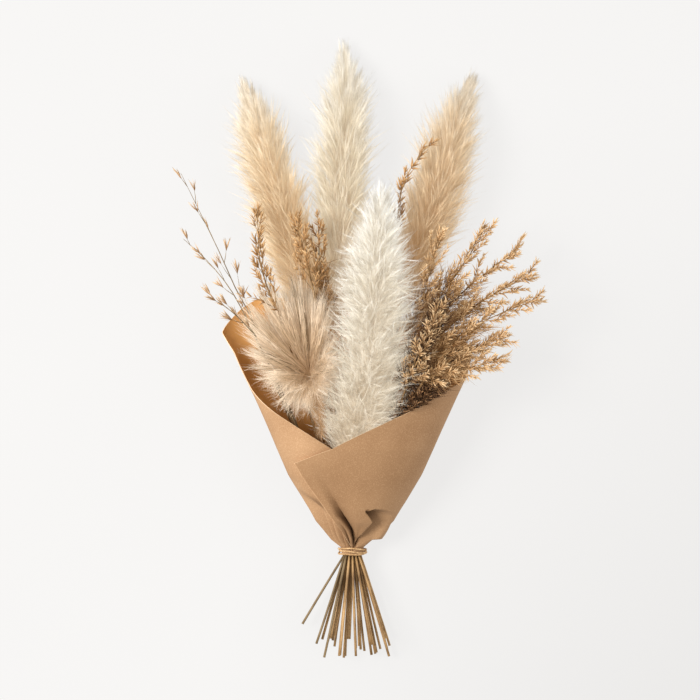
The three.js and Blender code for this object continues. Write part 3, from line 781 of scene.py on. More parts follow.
@dataclass(frozen=True)
class PaperFold:
    """A fold that runs up from the tie.

    Args:
        kind: How it is folded.
        width: Half its width in degrees at the tie and PLEAT_REACH past it.
        centre: (past the twine, angle) along its middle.
        depth: (past the twine, share of the radius that it goes in).
    """

    kind: Fold
    width: Span
    centre: Points
    depth: Points

    def across(self, angle: Array, past: Array) -> Array:
        """Places across the fold: 0 at its middle and 1 at its edge on the left."""
        half = self.width[0] + (self.width[1] - self.width[0]) * np.clip(past / PLEAT_REACH, 0, 1)
        return (angle - look_up(np.array(self.centre), past)) / half

    def push(self, angle: Array, past: Array) -> Array:
        """How far the paper goes in.

        Args:
            angle: Degrees round the wrap.
            past: Distance past the twine.

        Returns:
            Shares of the radius.
        """
        off = self.across(angle, past)
        depth = look_up(np.array(self.depth), past)
        if self.kind is Fold.PLEAT:
            return depth * np.exp(-np.abs(off) ** 1.5)
        return depth * np.where(off > 0, np.clip(1 - off, 0, 1), np.clip(1 + off / 4.4, 0, 1) ** 1.9)

    def shade(self, angle: Array, past: Array) -> Array:
        """How much painted shade the steep side of the fold gets.

        Args:
            angle: Degrees round the wrap.
            past: Distance past the twine.

        Returns:
            Numbers from 0 to 1.
        """
        off = self.across(angle, past)
        deep = np.clip(look_up(np.array(self.depth), past) / 0.4, 0, 1) ** 1.4
        if self.kind is Fold.PLEAT:
            return deep * np.exp(-off * off)
        return deep * smooth_step(-0.4, 0.1, off) * smooth_step(0.95, 0.5, off)


FRONT_FOLDS = (
    PaperFold(Fold.TUCK, (4.2, 7.2),
              ((0, 447), (8, 448), (16, 450), (27, 455), (38, 464), (44, 468.5), (54, 472), (90, 481)),
              ((-4, 0), (4, 0.12), (10, 0.34), (17, 0.54), (27, 0.54), (38, 0.42), (44, 0.34), (54, 0.2),
               (66, 0.12), (84, 0.05), (105, 0))),
    PaperFold(Fold.PLEAT, (4, 7), ((0, 439), (14, 437), (40, 440)), ((4, 0), (10, 0.2), (20, 0.14), (36, 0))),
    PaperFold(Fold.PLEAT, (2.2, 5.0), ((0, 457), (14, 460.5), (26, 465), (40, 471)),
              ((2, 0), (8, 0.2), (26, 0.15), (44, 0))),
)
BACK_FADE = ((-4, 0.0), (4, 0.05), (9, 0.26), (14, 0.32), (30, 0.18), (58, 0.05), (90, 0))
BACK_PLEATS = tuple(
    PaperFold(Fold.PLEAT, (5.5, 8.0), ((0, angle), (100, angle + (angle * 7) % 9 - 4)), BACK_FADE)
    for angle in (98, 122, 141, 160, 187, 214, 243, 268, 292, 321, 349))


@dataclass(frozen=True)
class KraftWrap:
    """The sheet of kraft paper, wound once and a sixth round the stems and gathered at the tie.

    Args:
        thickness: Of the paper.
        columns: Cells round the wrap.
        rows: Cells from the tie to the edge.
        start_angle: Where the under layer begins, in degrees.
        end_angle: Where the outer flap ends at the most, in degrees.
        foot: Distance past the twine where the paper begins.
        lap: How far the lap winds outward at the tie and 100 mm past it.
        bunching: How much closer the rows are near the tie.
    """

    thickness: float = 0.8
    columns: int = 450
    rows: int = 92
    start_angle: float = 80.0
    end_angle: float = 498.5
    foot: float = -4.0
    lap: Span = (1.4, 5.0)
    bunching: float = 1.35

    @staticmethod
    def middle(past: Array) -> tuple[Array, Array]:
        """X and Z of the wrap's middle."""
        return NECK_SHIFT * np.clip(past / NECK_SHIFT_END, 0, 1), look_up(WRAP_SECTION, past, 3)

    @staticmethod
    def outermost(angle: Array) -> Array:
        """The same places counted in the outer layer, where there are two."""
        return np.where(angle < LAP_TOP, angle + 360, angle)

    def pocket(self, angle: Array, past: Array) -> Array:
        """How far the tucked-in stretch right of the tongue goes in.

        Args:
            angle: Degrees round the wrap, counted in the outer layer.
            past: Distance past the twine.

        Returns:
            Shares of the radius.
        """
        tongue, arch = look_up(TONGUE, past) - angle, look_up(ARCH, angle) - past
        beside = smooth_step(-0.5, 1.0, tongue) * (1 - smooth_step(6, 50, tongue))
        under = smooth_step(-0.6, 1.2, arch) * (1 - 0.45 * smooth_step(4, 30, arch))
        return 0.66 * beside * under * smooth_step(4, 14, past)

    def hollow_shade(self, angle: Array, past: Array) -> Array:
        """How much painted shade the sharp hollows get: the wall of the tuck, the creases and the pocket.

        Args:
            angle: Degrees round the wrap, counted in the outer layer.
            past: Distance past the twine.

        Returns:
            Numbers from 0 to 1.
        """
        tongue, arch = look_up(TONGUE, past) - angle, look_up(ARCH, angle) - past
        beside = smooth_step(-0.5, 0.6, tongue)
        near = beside * (1 - smooth_step(1.5, 9, tongue))
        under = smooth_step(-0.4, 0.8, arch) * (1 - smooth_step(2, 17, arch))
        under *= 1 - smooth_step(14, 44, tongue)
        shade = sum(fold.shade(angle, past) for fold in FRONT_FOLDS)
        shade += (0.6 * near + 0.5 * under * beside) * smooth_step(3, 9, past) * (past < 52)
        return np.clip(shade, 0, 0.9)

    def corner(self, angle: Array, past: Array) -> Array:
        """How far the free bottom corner on the right stands out.

        Args:
            angle: Degrees round the wrap.
            past: Distance past the twine.

        Returns:
            Shares of the radius.
        """
        above = smooth_step(*CORNER_EDGE, past)
        out = 0.23 * above * (1 - np.clip((past - CORNER_EDGE[1]) / 17, 0, 1))
        below = 0.34 * smooth_step(2, 9, past) * (1 - above)
        return np.exp(-(((angle - CORNER_ANGLE) / 22) ** 6)) * (out - below)

    def dent(self, angle: Array, past: Array) -> Array:
        """How far the under layer goes in beside and below the flap's free edge.

        Args:
            angle: Degrees round the wrap.
            past: Distance past the twine.

        Returns:
            Shares of the radius.
        """
        below = look_up(FLAP_END, past) - 360 - angle
        beside = smooth_step(-17, -1, below) * (1 - smooth_step(10, 30, below))
        bulge = smooth_step(118, 130, angle) * (1 - smooth_step(160, 180, angle))
        ledge = smooth_step(66, 44, self.ledge(angle, past)) * smooth_step(10, 40, past)
        return look_up(GROOVE, past) * beside + 0.2 * bulge * ledge

    @staticmethod
    def ledge(angle: Array, past: Array) -> Array:
        """Distance past the twine, counted across the ledge that slants over the left side."""
        return past - 0.35 * (angle - LAP_TOP)

    def point(self, angle: Array, past: Array) -> Array:
        """Points of the paper's middle layer.

        Args:
            angle: Degrees round the wrap.
            past: Distance past the twine.

        Returns:
            Points in millimetres, with one more axis.
        """
        wound = (angle - self.start_angle) / (self.end_angle - self.start_angle)
        lap = wound * np.interp(past, [0, PLEAT_REACH], self.lap)
        outer = self.outermost(angle)
        factor = 1 + self.corner(angle, past) - self.pocket(outer, past) - self.dent(angle, past)
        factor -= sum(fold.push(angle, past) for fold in BACK_PLEATS)
        factor -= sum(fold.push(outer, past) for fold in FRONT_FOLDS)
        to_end = look_up(FLAP_END, past) - angle
        flare = 0.05 * smooth_step(14, 0, to_end) + 0.018 * smooth_step(2.2, 0, to_end)
        factor += flare * smooth_step(8, 30, past)
        wave = 0.011 * np.sin(np.radians(angle * 3.1 + 40)) * np.sin(past / 31 + angle / 47)
        factor += wave * smooth_step(30, 90, past)
        turn = np.radians(angle)
        middle_x, middle_z = self.middle(past)
        x = middle_x + (look_up(WRAP_SECTION, past, 1) + lap) * factor * np.cos(turn)
        z = middle_z + (look_up(WRAP_SECTION, past, 2) + lap) * factor * np.sin(turn)
        return np.stack([x, TIE_Y + past, np.maximum(z, self.thickness / 2 + 0.05)], axis=-1)

    def hold_in(self, points: Array) -> Array:
        """Keeps hair and stems inside the wrap where it covers them, above the table and not too high.

        Args:
            points: (n, 3) in millimetres.

        Returns:
            The moved points.
        """
        past = points[:, 1] - TIE_Y
        middle_x, middle_z = self.middle(past)
        x = (points[:, 0] - middle_x) / look_up(WRAP_SECTION, past, 1)
        z = (points[:, 2] - middle_z) / look_up(WRAP_SECTION, past, 2)
        out = np.hypot(x, z)
        angle = (np.degrees(np.arctan2(z, x)) - self.start_angle) % 360 + self.start_angle
        outer = np.where(angle + 360 <= self.end_angle, look_up(WRAP_EDGE, angle + 360), 0)
        covered = (past < np.maximum(look_up(WRAP_EDGE, angle), outer) + 1.5) & (past > 6)
        limit = 0.955 - 0.14 * np.clip((80 - past) / 60, 0, 1)
        pull = np.where(covered & (out > limit), limit / np.maximum(out, TINY), 1)
        height = middle_z + (points[:, 2] - middle_z) * pull
        height = np.where(height > HAIR_TOP, HAIR_TOP + (height - HAIR_TOP) * HAIR_PRESS, height)
        across = middle_x + (points[:, 0] - middle_x) * pull
        return np.column_stack([across, points[:, 1], np.maximum(height, HAIR_LOW)])

    def tone(self, angle: Array, past: Array, to_edge: Array) -> Array:
        """How light the outside is; most of it is painted light and shade.

        Args:
            angle: Degrees round the wrap.
            past: Distance past the twine.
            to_edge: Distance to the upper edge.

        Returns:
            Numbers, with 0.5 for the plain colour.
        """
        to_end = look_up(FLAP_END, past) - angle
        above_neck = smooth_step(4, 14, past)
        # painted shade: darker farther from the upper edge, deeper in the wrap
        tone = np.interp(to_edge, [10, 150], [0.52, 0.08])
        # painted shade in the hollows of the folds and the pocket
        tone -= 6.4 * self.hollow_shade(self.outermost(angle), past)
        # painted shadow under the ledge on the left side
        ledge = np.exp(-(((self.ledge(angle, past) - 56) / 8) ** 2))
        tone -= 4.5 * ledge * smooth_step(118, 128, angle) * smooth_step(172, 138, angle)
        # painted light: the left side, which faces the window, is lighter
        tone += 2.8 * smooth_step(105, 135, angle) * (1 - smooth_step(185, 225, angle))
        # painted light: the right side is lighter
        tone += 1.8 * smooth_step(418, 385, angle) * (angle > 330)
        # painted highlight along the flap's free edge
        tone += 5 * (to_end < 0.9) * above_neck
        # painted shadow on the under layer beside the flap's edge
        flap_shadow = np.exp(-np.abs(to_end - 360 + 0.6) / 1.8)
        return tone - 1.9 * flap_shadow * above_neck * smooth_step(108, 92, past)

    def build(self, *finishes: bpy.types.Material) -> None:
        """Models the sheet: a grid that is wound by the wrap's sizes, then given its thickness.

        Args:
            *finishes: Of its outside, its inside and its edge.
        """
        deselect_all()
        bpy.ops.mesh.primitive_grid_add(x_subdivisions=self.columns, y_subdivisions=self.rows, size=2)
        sheet = bpy.context.object
        mesh = sheet.data
        sheet.name = mesh.name = "kraft_wrap"
        across, along = (vertex_places(mesh)[:, :2].T + 1) / 2
        span = self.end_angle - self.start_angle
        angle = self.start_angle + across * span
        reach = look_up(WRAP_EDGE, angle)
        past = self.foot + (reach - self.foot) * along**self.bunching
        ending = look_up(FLAP_END, past * FLAP_END[-1, 0] / reach)
        angle = self.start_angle + (angle - self.start_angle) * ((ending - self.start_angle) / span)
        mesh.vertices.foreach_set("co", (self.point(angle, past) * MM).ravel())
        for finish in finishes:
            mesh.materials.append(finish)
        # tone carries the outside's painted light and shade; depth darkens the inside deeper in the wrap,
        # which is painted shade
        keep_value(mesh, "tone", self.tone(angle, past, reach - past))
        keep_value(mesh, "depth", np.interp(reach - past, [15, 170], [0.76, 0.3]))
        bpy.ops.object.mode_set(mode="EDIT")
        bpy.ops.mesh.select_all(action="SELECT")
        bpy.ops.mesh.normals_make_consistent(inside=False)
        bpy.ops.object.mode_set(mode="OBJECT")
        wall = sheet.modifiers.new("wall", "SOLIDIFY")
        wall.thickness = self.thickness * MM
        wall.offset = 0
        wall.material_offset = 1
        wall.material_offset_rim = 2
        bpy.ops.object.modifier_apply(modifier=wall.name)
        bpy.ops.object.shade_smooth_by_angle(angle=math.radians(38))
        put_on(sheet, "kraft_paper", "paper_wrap")


# ---- The bench: shapes and finishes that the pieces share ------------------------------------


CANE_STEPS = 6  # rings of a cane below its top


@dataclass(frozen=True)
class Bench:
    """What the pieces are made with.

    Args:
        hair: A short tapering strand.
        down: A plain straight strand.
        silk: A longer strand with more rings.
        bract: A small curved scale or glume.
        cane: A round stem.
        twig: A thin side stem that ends in a point.
        wrap: The paper, which holds the rest in.
        effects: Shared shader groups.
    """

    hair: Template
    down: Template
    silk: Template
    bract: Template
    cane: Template
    twig: Template
    wrap: KraftWrap
    effects: Effects

    @classmethod
    def set_up(cls) -> "Bench":
        """Models the shared shapes and builds the shared effects.

        Returns:
            The bench.
        """
        cane_rings = tuple((ring / CANE_STEPS, 1.0) for ring in range(CANE_STEPS))
        return cls(
            hair=model_template(3, (0, 1.0), (0.5, 0.72), (1, 0)),
            down=model_template(3, (0, 1.0), (1, 0)),
            silk=model_template(3, (0, 1.0), (0.3, 0.95), (0.65, 0.7), (1, 0)),
            bract=model_template(4, (0, 0.35), (0.3, 1.0), (0.7, 0.7), (1, 0), flatness=0.42),
            cane=model_template(9, *cane_rings, (1.0, 0.85)),
            twig=model_template(4, (0, 1.0), (0.5, 0.85), (1, 0.0)),
            wrap=KraftWrap(),
            effects=Effects.build())

    def set_in(self, pile: Pile, name: str, material: bpy.types.Material, slot: str, *nodes: str) -> None:
        """Makes a pile a piece of the bundle that the wrap holds in.

        Args:
            pile: What it is made of.
            name: Name of the piece.
            material: Its material.
            slot: Its material slot.
            *nodes: The CAD nodes that it stands for.
        """
        put_on(pile.to_object(name, material, self.wrap.hold_in), slot, *nodes)


@dataclass(frozen=True)
class Branches:
    """The branches of a plume or the ribs of a fan, which hair grows on.

    Args:
        paths: Their control points, (n, 3, 3).
        where: Share of the plume where each branch ends, or direction of each rib in degrees.
        tone: How light each one is.
    """

    paths: Array
    where: Array
    tone: Array


# ---- Plumes ----------------------------------------------------------------------------------

# Share of the length -> share of the widest radius.
PLUME_OUTLINE = np.array([(0, 0.8), (0.2, 1), (0.45, 1), (0.6, 0.88), (0.72, 0.7), (0.82, 0.48), (0.9, 0.26),
                          (0.96, 0.1), (1, 0.02)])
LOCK_SPREAD = np.array([1.1, 0.9, 0.45])  # of a lock's hairs at their root, middle and tip
LONG_HAIRS, LONGER = 0.15, 1.35  # share of the hairs that are longer, and by how much


@dataclass
class Plume:
    """A pampas plume: branches of silky hair that grow up and out round a stem.

    Args:
        name: Name of the plume's node.
        slot: Its material slot.
        axis: Points from its base to its tip.
        radius: Its widest reach.
        finish: Its colours.
        seed: For its random draws.
        tufts: Number of branches.
        locks: Locks of curved hair on each branch.
        strands: Hairs in a lock.
        run: Length of a branch.
        hair: Shortest and longest hair.
        spread: Least and most angle between a hair and its branch, in degrees.
        down: Short straight hairs on each branch.
        fullness: Share of the radius that the branches reach.
        bow: How far a branch bends outward at its middle.
        curl: How wavy the hair is.
        skirt: How far the hair goes on below the base.
        spine: How much deeper the colour is where the branches face the viewer.
        drape: How far the hair hangs to the left.
        thickness: Radius of a lock's hair and of a short hair at the root.
        rachis: Radius of the stem in the plume at its base and near its tip.
        parts: Meshes that it is split into.
    """

    name: str
    slot: str
    axis: Points
    radius: float
    finish: StalkFinish
    seed: int
    tufts: int = 540
    locks: int = 6
    strands: int = 5
    run: float = 46.0
    hair: Span = (24.0, 48.0)
    spread: Span = (5.0, 32.0)
    down: int = 32
    fullness: float = 0.7
    bow: float = 0.5
    curl: float = 0.34
    skirt: float = 34.0
    spine: float = 0.12
    drape: float = 0.0
    thickness: Span = (0.15, 0.1)
    rachis: Span = (1.1, 0.4)
    parts: int = 2

    def rail(self) -> Rail:
        """The middle line, with a stretch of the stem that the lowest hair grows on."""
        first, second = np.array(self.axis[0]), np.array(self.axis[1])
        return Rail((tuple(first - unit(second - first) * self.skirt), *self.axis))

    def branches(self, rng: Rng) -> Branches:
        """Lays out the branches.

        Args:
            rng: Source of random numbers.

        Returns:
            The branches, lowest first.
        """
        rail = self.rail()
        skirt = self.skirt / rail.length
        order = (np.arange(self.tufts) + 0.5) / self.tufts
        root = 0.87 * order**0.95
        turn = np.arange(self.tufts) * GOLDEN_ANGLE + rng.normal(0, 0.3, self.tufts)
        run = self.run * (1.06 - 0.4 * root) * rng.uniform(0.75, 1.15, self.tufts)
        end = np.minimum(root + run / rail.length, 0.86 + 0.1 * order)
        outline = look_up(PLUME_OUTLINE, (end - skirt) / (1 - skirt))
        reach = self.radius * self.fullness * outline * rng.uniform(0.5, 1.04, self.tufts)
        out = sideways(rail.way(root), turn)
        middle = rail.at(root + (end - root) * 0.5) + out * (reach * self.bow)[:, None]
        tip = rail.at(end) + out * reach[:, None]
        return Branches(np.stack([rail.at(root), middle, tip], axis=1), end,
                        rng.uniform(0.34, 0.66, self.tufts))

    def build(self, bench: Bench) -> None:
        """Grows the hair on the branches and makes the meshes.

        Args:
            bench: The shared shapes and effects.
        """
        rng = np.random.default_rng(self.seed)
        branches = self.branches(rng)
        piles = [Pile() for _ in range(self.parts)]
        self._grow(piles, bench.hair, self.locks, self.strands, self.thickness[0], branches, rng)
        self._grow(piles, bench.down, self.down, 1, self.thickness[1], branches, rng)
        self._add_rachis(piles[0], bench.silk)
        material = self.finish.make(bench.effects)
        for number, pile in enumerate(piles, 1):
            bench.set_in(pile, f"{self.name}_hair_{number}", material, self.slot, self.name)

    def _grow(self, piles: list[Pile], template: Template, locks: int, strands: int, thickness: float,
              branches: Branches, rng: Rng) -> None:
        """Grows one kind of hair on every branch, in locks that come to a point.

        Args:
            piles: The meshes that share the branches out.
            template: The strand.
            locks: Locks on a branch.
            strands: Hairs in a lock.
            thickness: Radius of a hair at its root.
            branches: What it grows on.
            rng: Source of random numbers.
        """
        count = self.tufts * locks
        owner = np.repeat(np.arange(self.tufts), locks)
        share = rng.uniform(0.02, 1.0, count) ** 0.8
        place, way = spots(branches.paths[owner], share)
        side = sideways(way, rng.uniform(0, FULL_TURN, count))
        topmost = smooth_step(0.7, 0.95, branches.where[owner])
        lean = np.radians(rng.uniform(*self.spread, count)) * (1 - 0.8 * topmost)
        start = leaning(way, side, lean)
        length = rng.uniform(*self.hair, count) * (1.12 - 0.3 * share) * (1 - 0.5 * topmost)
        length *= np.where(rng.random(count) < LONG_HAIRS, LONGER, 1.0)
        waves = self.curl * rng.normal(0, 0.6, (count, 3)) * (1 - 0.6 * topmost)[:, None]
        hang = self.drape * (1 - topmost)[:, None] * np.array([1.0, 0, 0])
        curves = sprouts(place, start, unit(start + 0.35 * way + waves - hang), length)
        curves, owner, share = (np.repeat(value, strands, axis=0) for value in (curves, owner, share))
        if strands > 1:
            curves += rng.normal(0, 1, curves.shape) * LOCK_SPREAD[None, :, None]
        lock_tone = np.repeat(rng.normal(0, 0.28, count), strands)
        tone = np.clip(branches.tone[owner] + lock_tone, 0, 1)
        radii = thickness * rng.uniform(0.7, 1.2, len(owner))
        turn = rng.uniform(0, ANY_TURN, len(owner))
        facing = unit(branches.paths[:, 2] - branches.paths[:, 0])[owner, 2] * 2.2
        along = template.along[None]
        reach = 0.42 * branches.where[owner, None] + 0.33 * share[:, None] + 0.25 * along
        reach -= self.spine * np.clip(facing, 0, 1)[:, None] * (1 - 0.6 * along)
        for part, pile in enumerate(piles):
            own = owner % self.parts == part
            pile.grow(template, curves[own], radii[own], turn[own], tone=tone[own], reach=reach[own])

    def _add_rachis(self, pile: Pile, template: Template) -> None:
        """Adds the stem that the branches grow on, as strands that overlap by a tenth.

        Args:
            pile: Where it goes.
            template: The strand.
        """
        paths = stretches(Rail(self.axis).at(np.linspace(0, 0.95, 15)))
        paths[:, 2] += (paths[:, 2] - paths[:, 0]) * 0.1
        pile.grow(template, paths, np.linspace(*self.rachis, len(paths)), 0.0, tone=0.3, reach=0.0)


# ---- The fan ---------------------------------------------------------------------------------


@dataclass
class Fan:
    """A spread head of straight silky fibres that grow from one hub, with a small feathery tail.

    Args:
        finish: Its colours.
        hub: Where the ribs meet.
        reach: (direction in degrees, length) round the hub, from the first rib's direction on.
        tail: Points along the tail, from the hub down.
        rib_count: Bundles of fibres.
        fibres: Fibres in each bundle.
        barbs: Short hairs on each bundle.
        tail_hairs: Hairs of the tail.
        lift: Lowest and highest rise of a rib over the hub.
        fibre_radii: Least and most radius of a fibre.
        barb_radii: Least and most radius of a short hair.
        barb_length: Least and most length of a short hair.
        tail_radii: Least and most radius of the tail's hairs.
        tail_length: Least and most length of the tail's hairs.
        dark_every: One rib in so many has dark fibres, painted shade for the dark lines between bundles.
        full_turn: Upper end of a fibre's random turn about its own line, in radians.
        seed: For its random draws.
    """

    finish: StalkFinish
    hub: tuple[float, float, float] = (-47, 72, 70)
    reach: Points = ((-106, 46), (-60, 30), (-20, 22), (12, 26), (35, 40), (55, 58), (80, 98), (100, 123),
                     (120, 127), (135, 114), (150, 94), (175, 70), (210, 56), (250, 50))
    tail: Points = ((-45, 70, 78), (-41, 48, 88), (-37, 26, 92), (-34, 4, 92))
    rib_count: int = 400
    fibres: int = 34
    barbs: int = 40
    tail_hairs: int = 560
    lift: Span = (-14.0, 26.0)
    fibre_radii: Span = (0.14, 0.44)
    barb_radii: Span = (0.1, 0.22)
    barb_length: Span = (7.0, 16.0)
    tail_radii: Span = (0.09, 0.17)
    tail_length: Span = (10.0, 26.0)
    dark_every: int = 12
    full_turn: float = 6.0
    seed: int = 21

    def ribs(self, rng: Rng) -> Branches:
        """Lays out the ribs in layers, each one a slim bundle of fibres.

        Args:
            rng: Source of random numbers.

        Returns:
            The ribs, lowest layer first.
        """
        count = self.rib_count
        layer = (np.arange(count) + 0.5) / count
        direction = self.reach[0][0] + 360 * rng.permutation(layer) + rng.normal(0, 3.0, count)
        length = look_up(np.array(self.reach), direction) * (1.0 - 0.28 * (1 - layer) ** 2)
        length *= 1.0 - 0.3 * rng.random(count) ** 2
        turn = np.radians(direction + rng.normal(0, 2.0, count))
        flat = np.stack([np.cos(turn), np.sin(turn), 0 * turn], axis=1)
        across = np.stack([-flat[:, 1], flat[:, 0], 0 * turn], axis=1)
        rise = np.interp(layer, [0, 1], self.lift)
        curly = self.curliness(direction)
        length *= 1 + curly * rng.uniform(-0.4, 0.06, count)
        sway = across * (curly * rng.normal(0, 12.0, count))[:, None]
        hub = np.array(self.hub, float)
        root = hub + flat * 1.5 + UP * (rise * 0.25)[:, None] + rng.normal(0, 1.4, (count, 3))
        tip = hub + flat * length[:, None] + UP * (rise * 0.75)[:, None] + sway
        middle = hub + flat * (length * 0.55)[:, None] + UP * (rise + 7)[:, None] - sway * 0.6
        return Branches(np.stack([root, middle, tip], axis=1), direction, rng.uniform(0.32, 0.68, count))

    @staticmethod
    def curliness(direction: Array) -> Array:
        """How far the ribs at some directions are curled wisps: 0 at the top, 1 at the lower left."""
        return smooth_step(150, 185, direction) + smooth_step(78, 62, direction)

    def build(self, bench: Bench) -> None:
        """Grows the fibres, the feathery ends and the tail.

        Args:
            bench: The shared shapes and effects.
        """
        rng = np.random.default_rng(self.seed)
        ribs = self.ribs(rng)
        fibres, tail = Pile(), Pile()
        self._add_fibres(fibres, bench.hair, ribs, rng)
        self._add_barbs(fibres, bench.hair, ribs, rng)
        self._add_tail(tail, bench.hair, rng)
        material = self.finish.make(bench.effects)
        bench.set_in(fibres, "fan_fibres", material, "blush_plume", "plume_fan")
        bench.set_in(tail, "fan_tail", material, "blush_plume", "plume_fan")

    def _add_fibres(self, pile: Pile, template: Template, ribs: Branches, rng: Rng) -> None:
        """Adds long fibres that start beside a rib and close in on its tip.

        Args:
            pile: Where they go.
            template: The strand.
            ribs: What they follow.
            rng: Source of random numbers.
        """
        owner = np.repeat(np.arange(self.rib_count), self.fibres)
        owner = owner[rng.random(len(owner)) < 1 - 0.66 * self.curliness(ribs.where[owner])]
        count = len(owner)
        curly = self.curliness(ribs.where[owner])
        begin = 0.75 * rng.random(count) ** 1.7
        near, way = bezier(ribs.paths[owner], np.stack([begin, (begin + 1) / 2], axis=1))
        across = unit(np.cross(way[:, 0], UP))
        beside = across * rng.normal(0, 1, (count, 1)) + UP * rng.normal(0, 0.6, (count, 1))
        beside *= (0.8 + (4.0 - 3.0 * curly) * begin)[:, None]
        tip = ribs.paths[owner, 2] + rng.normal(0, 1, (count, 3)) * (2.6 + 1.2 * curly)[:, None]
        tip += way[:, 1] * rng.normal(0, 5.0, (count, 1))
        tip += across * ((1 - curly) * rng.normal(0, 2, count))[:, None]
        curves = np.stack([near[:, 0] + beside, near[:, 1] + beside * 0.9, tip], axis=1)
        tone = np.clip(ribs.tone[owner] + rng.normal(0, 0.3, count), 0, 1)
        # painted shade: dark fibres for the shaded gaps between bundles
        tone -= 0.9 * ((owner % self.dark_every == 0) & (rng.random(count) < 0.5))
        radii = rng.uniform(*self.fibre_radii, count)
        reach = begin[:, None] + (1 - begin[:, None]) * template.along[None]
        pile.grow(template, curves, radii, rng.uniform(0, self.full_turn, count), tone=tone, reach=reach)

    def _add_barbs(self, pile: Pile, template: Template, ribs: Branches, rng: Rng) -> None:
        """Adds short fine hairs that make the ribs' ends feathery.

        Args:
            pile: Where they go.
            template: The strand.
            ribs: What they grow on.
            rng: Source of random numbers.
        """
        owner = np.repeat(np.arange(self.rib_count), self.barbs)
        owner = owner[rng.random(len(owner)) < 0.4 + 0.15 * self.curliness(ribs.where[owner])]
        count = len(owner)
        curly = self.curliness(ribs.where[owner])
        share = rng.uniform(0.3, 1.0, count) ** (1 + 0.5 * curly)
        place, way = spots(ribs.paths[owner], share)
        side = unit(rng.normal(0, 1, (count, 3)) * np.array([1, 1, 0.5]))
        lean = np.radians(rng.uniform(3, 12, count) + 46 * curly * rng.uniform(0.2, 1, count))
        start = leaning(way, side, lean)
        bend = unit(start + curly[:, None] * (0.5 * side + rng.normal(0, 0.3, (count, 3))))
        curves = sprouts(place, start, bend, rng.uniform(*self.barb_length, count) * (1 + 0.1 * curly))
        tone = np.clip(ribs.tone[owner] + rng.normal(0, 0.2, count), 0, 1)
        radii = rng.uniform(*self.barb_radii, count)
        reach = np.clip(share[:, None] + 0.2 * template.along[None], 0, 1)
        pile.grow(template, curves, radii, rng.uniform(0, self.full_turn, count), tone=tone, reach=reach)

    def _add_tail(self, pile: Pile, template: Template, rng: Rng) -> None:
        """Grows the small feather that hangs from the hub toward the tie.

        Args:
            pile: Where it goes.
            template: The strand.
            rng: Source of random numbers.
        """
        rail = Rail(self.tail)
        count = self.tail_hairs
        share = rng.uniform(0, 0.97, count)
        way = rail.way(share)
        around = rng.uniform(0, FULL_TURN, count)
        lean = np.radians(rng.uniform(24, 72, count))
        start = leaning(way, sideways(way, around) * np.array([1.2, 1.0, 0.5]), lean)
        length = rng.uniform(*self.tail_length, count) * (1.1 - 0.6 * share)
        bend = unit(start + 0.7 * way + rng.normal(0, 0.35, (count, 3)))
        curves = sprouts(rail.at(share), start, bend, length)
        radii = rng.uniform(*self.tail_radii, count)
        # reach stays low, so the tail keeps the darker root colours: painted shade
        pile.grow(template, curves, radii, around, tone=rng.uniform(0, 1, count),
                  reach=0.4 * template.along[None])


# ---- Stems -----------------------------------------------------------------------------------

RING_GAP = 2.2  # corners of a stem's node that are closer along Y belong to one ring
PLUME_CANE, LOOSE_CANE = 1.55, 1.45  # radii
PLUME_PLACES = ("left", "back", "right", "front", "fan")


def stem_rows(node: str, top: float) -> Array:
    """Reads a stem's middle line from its node: the mean of each ring of corners below a height.

    Args:
        node: Name of the CAD node.
        top: Only corners with a smaller Y belong to the stem.

    Returns:
        Points from the cut end up, in millimetres.
    """
    corners = np.unique(np.round(vertex_places(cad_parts[node].data) / MM, 2), axis=0)
    corners = corners[corners[:, 1] < top]
    corners = corners[np.argsort(corners[:, 1])]
    breaks = np.flatnonzero(np.diff(corners[:, 1]) > RING_GAP) + 1
    return np.array([ring.mean(axis=0) for ring in np.split(corners, breaks)])


@dataclass
class Stem:
    """One dried stem, from its cut end below the tie to the head that it carries.

    Args:
        node: The CAD node that holds it.
        top: Y under which the node's corners belong to the stem.
        radius: Of the cane.
        seed: For its random draws.
    """

    node: str
    top: float = 400.0
    radius: float = 1.4
    seed: int = 0

    def add_to(self, pile: Pile, bench: Bench) -> None:
        """Adds the stem to a pile, as a slightly bowed cane for each straight stretch.

        Args:
            pile: Where it goes.
            bench: The shared shapes.
        """
        rng = np.random.default_rng(self.seed)
        rows = stem_rows(self.node, self.top)
        length = np.linalg.norm(np.diff(rows, axis=0), axis=1, keepdims=True)
        bow = rng.normal(0, 0.012, (len(length), 3)) * length * np.array([1, 0, 0.3])
        pile.grow(bench.cane, stretches(rows, bow), self.radius, 0.4, tone=rng.uniform(0, 1))


def build_bare_stems(bench: Bench, straw: bpy.types.Material) -> None:
    """Makes the stems of the plumes and of the fan, and those that end inside the wrap.

    Args:
        bench: The shared shapes.
        straw: Their material.
    """
    loose_stems = sorted(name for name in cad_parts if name.startswith("loose_stem"))
    pieces = [(f"plume_{place}_stem_cane", [f"plume_{place}_stem"], PLUME_CANE) for place in PLUME_PLACES]
    for name, nodes, radius in [*pieces, ("loose_canes", loose_stems, LOOSE_CANE)]:
        pile = Pile()
        for node in nodes:
            Stem(node, radius=radius, seed=len(name)).add_to(pile, bench)
        bench.set_in(pile, name, straw, "straw_stem", *nodes)


# ---- Sprays ----------------------------------------------------------------------------------


class Habit(Enum):
    """How the spikelets of a spray are set."""

    OAT = "loose pairs on long thin twigs"
    SPRIG = "short tight clusters"
    EAR = "slim ears of overlapping bracts over fine chaff"
    CURLED = "dense curled bracts over dark bristles"


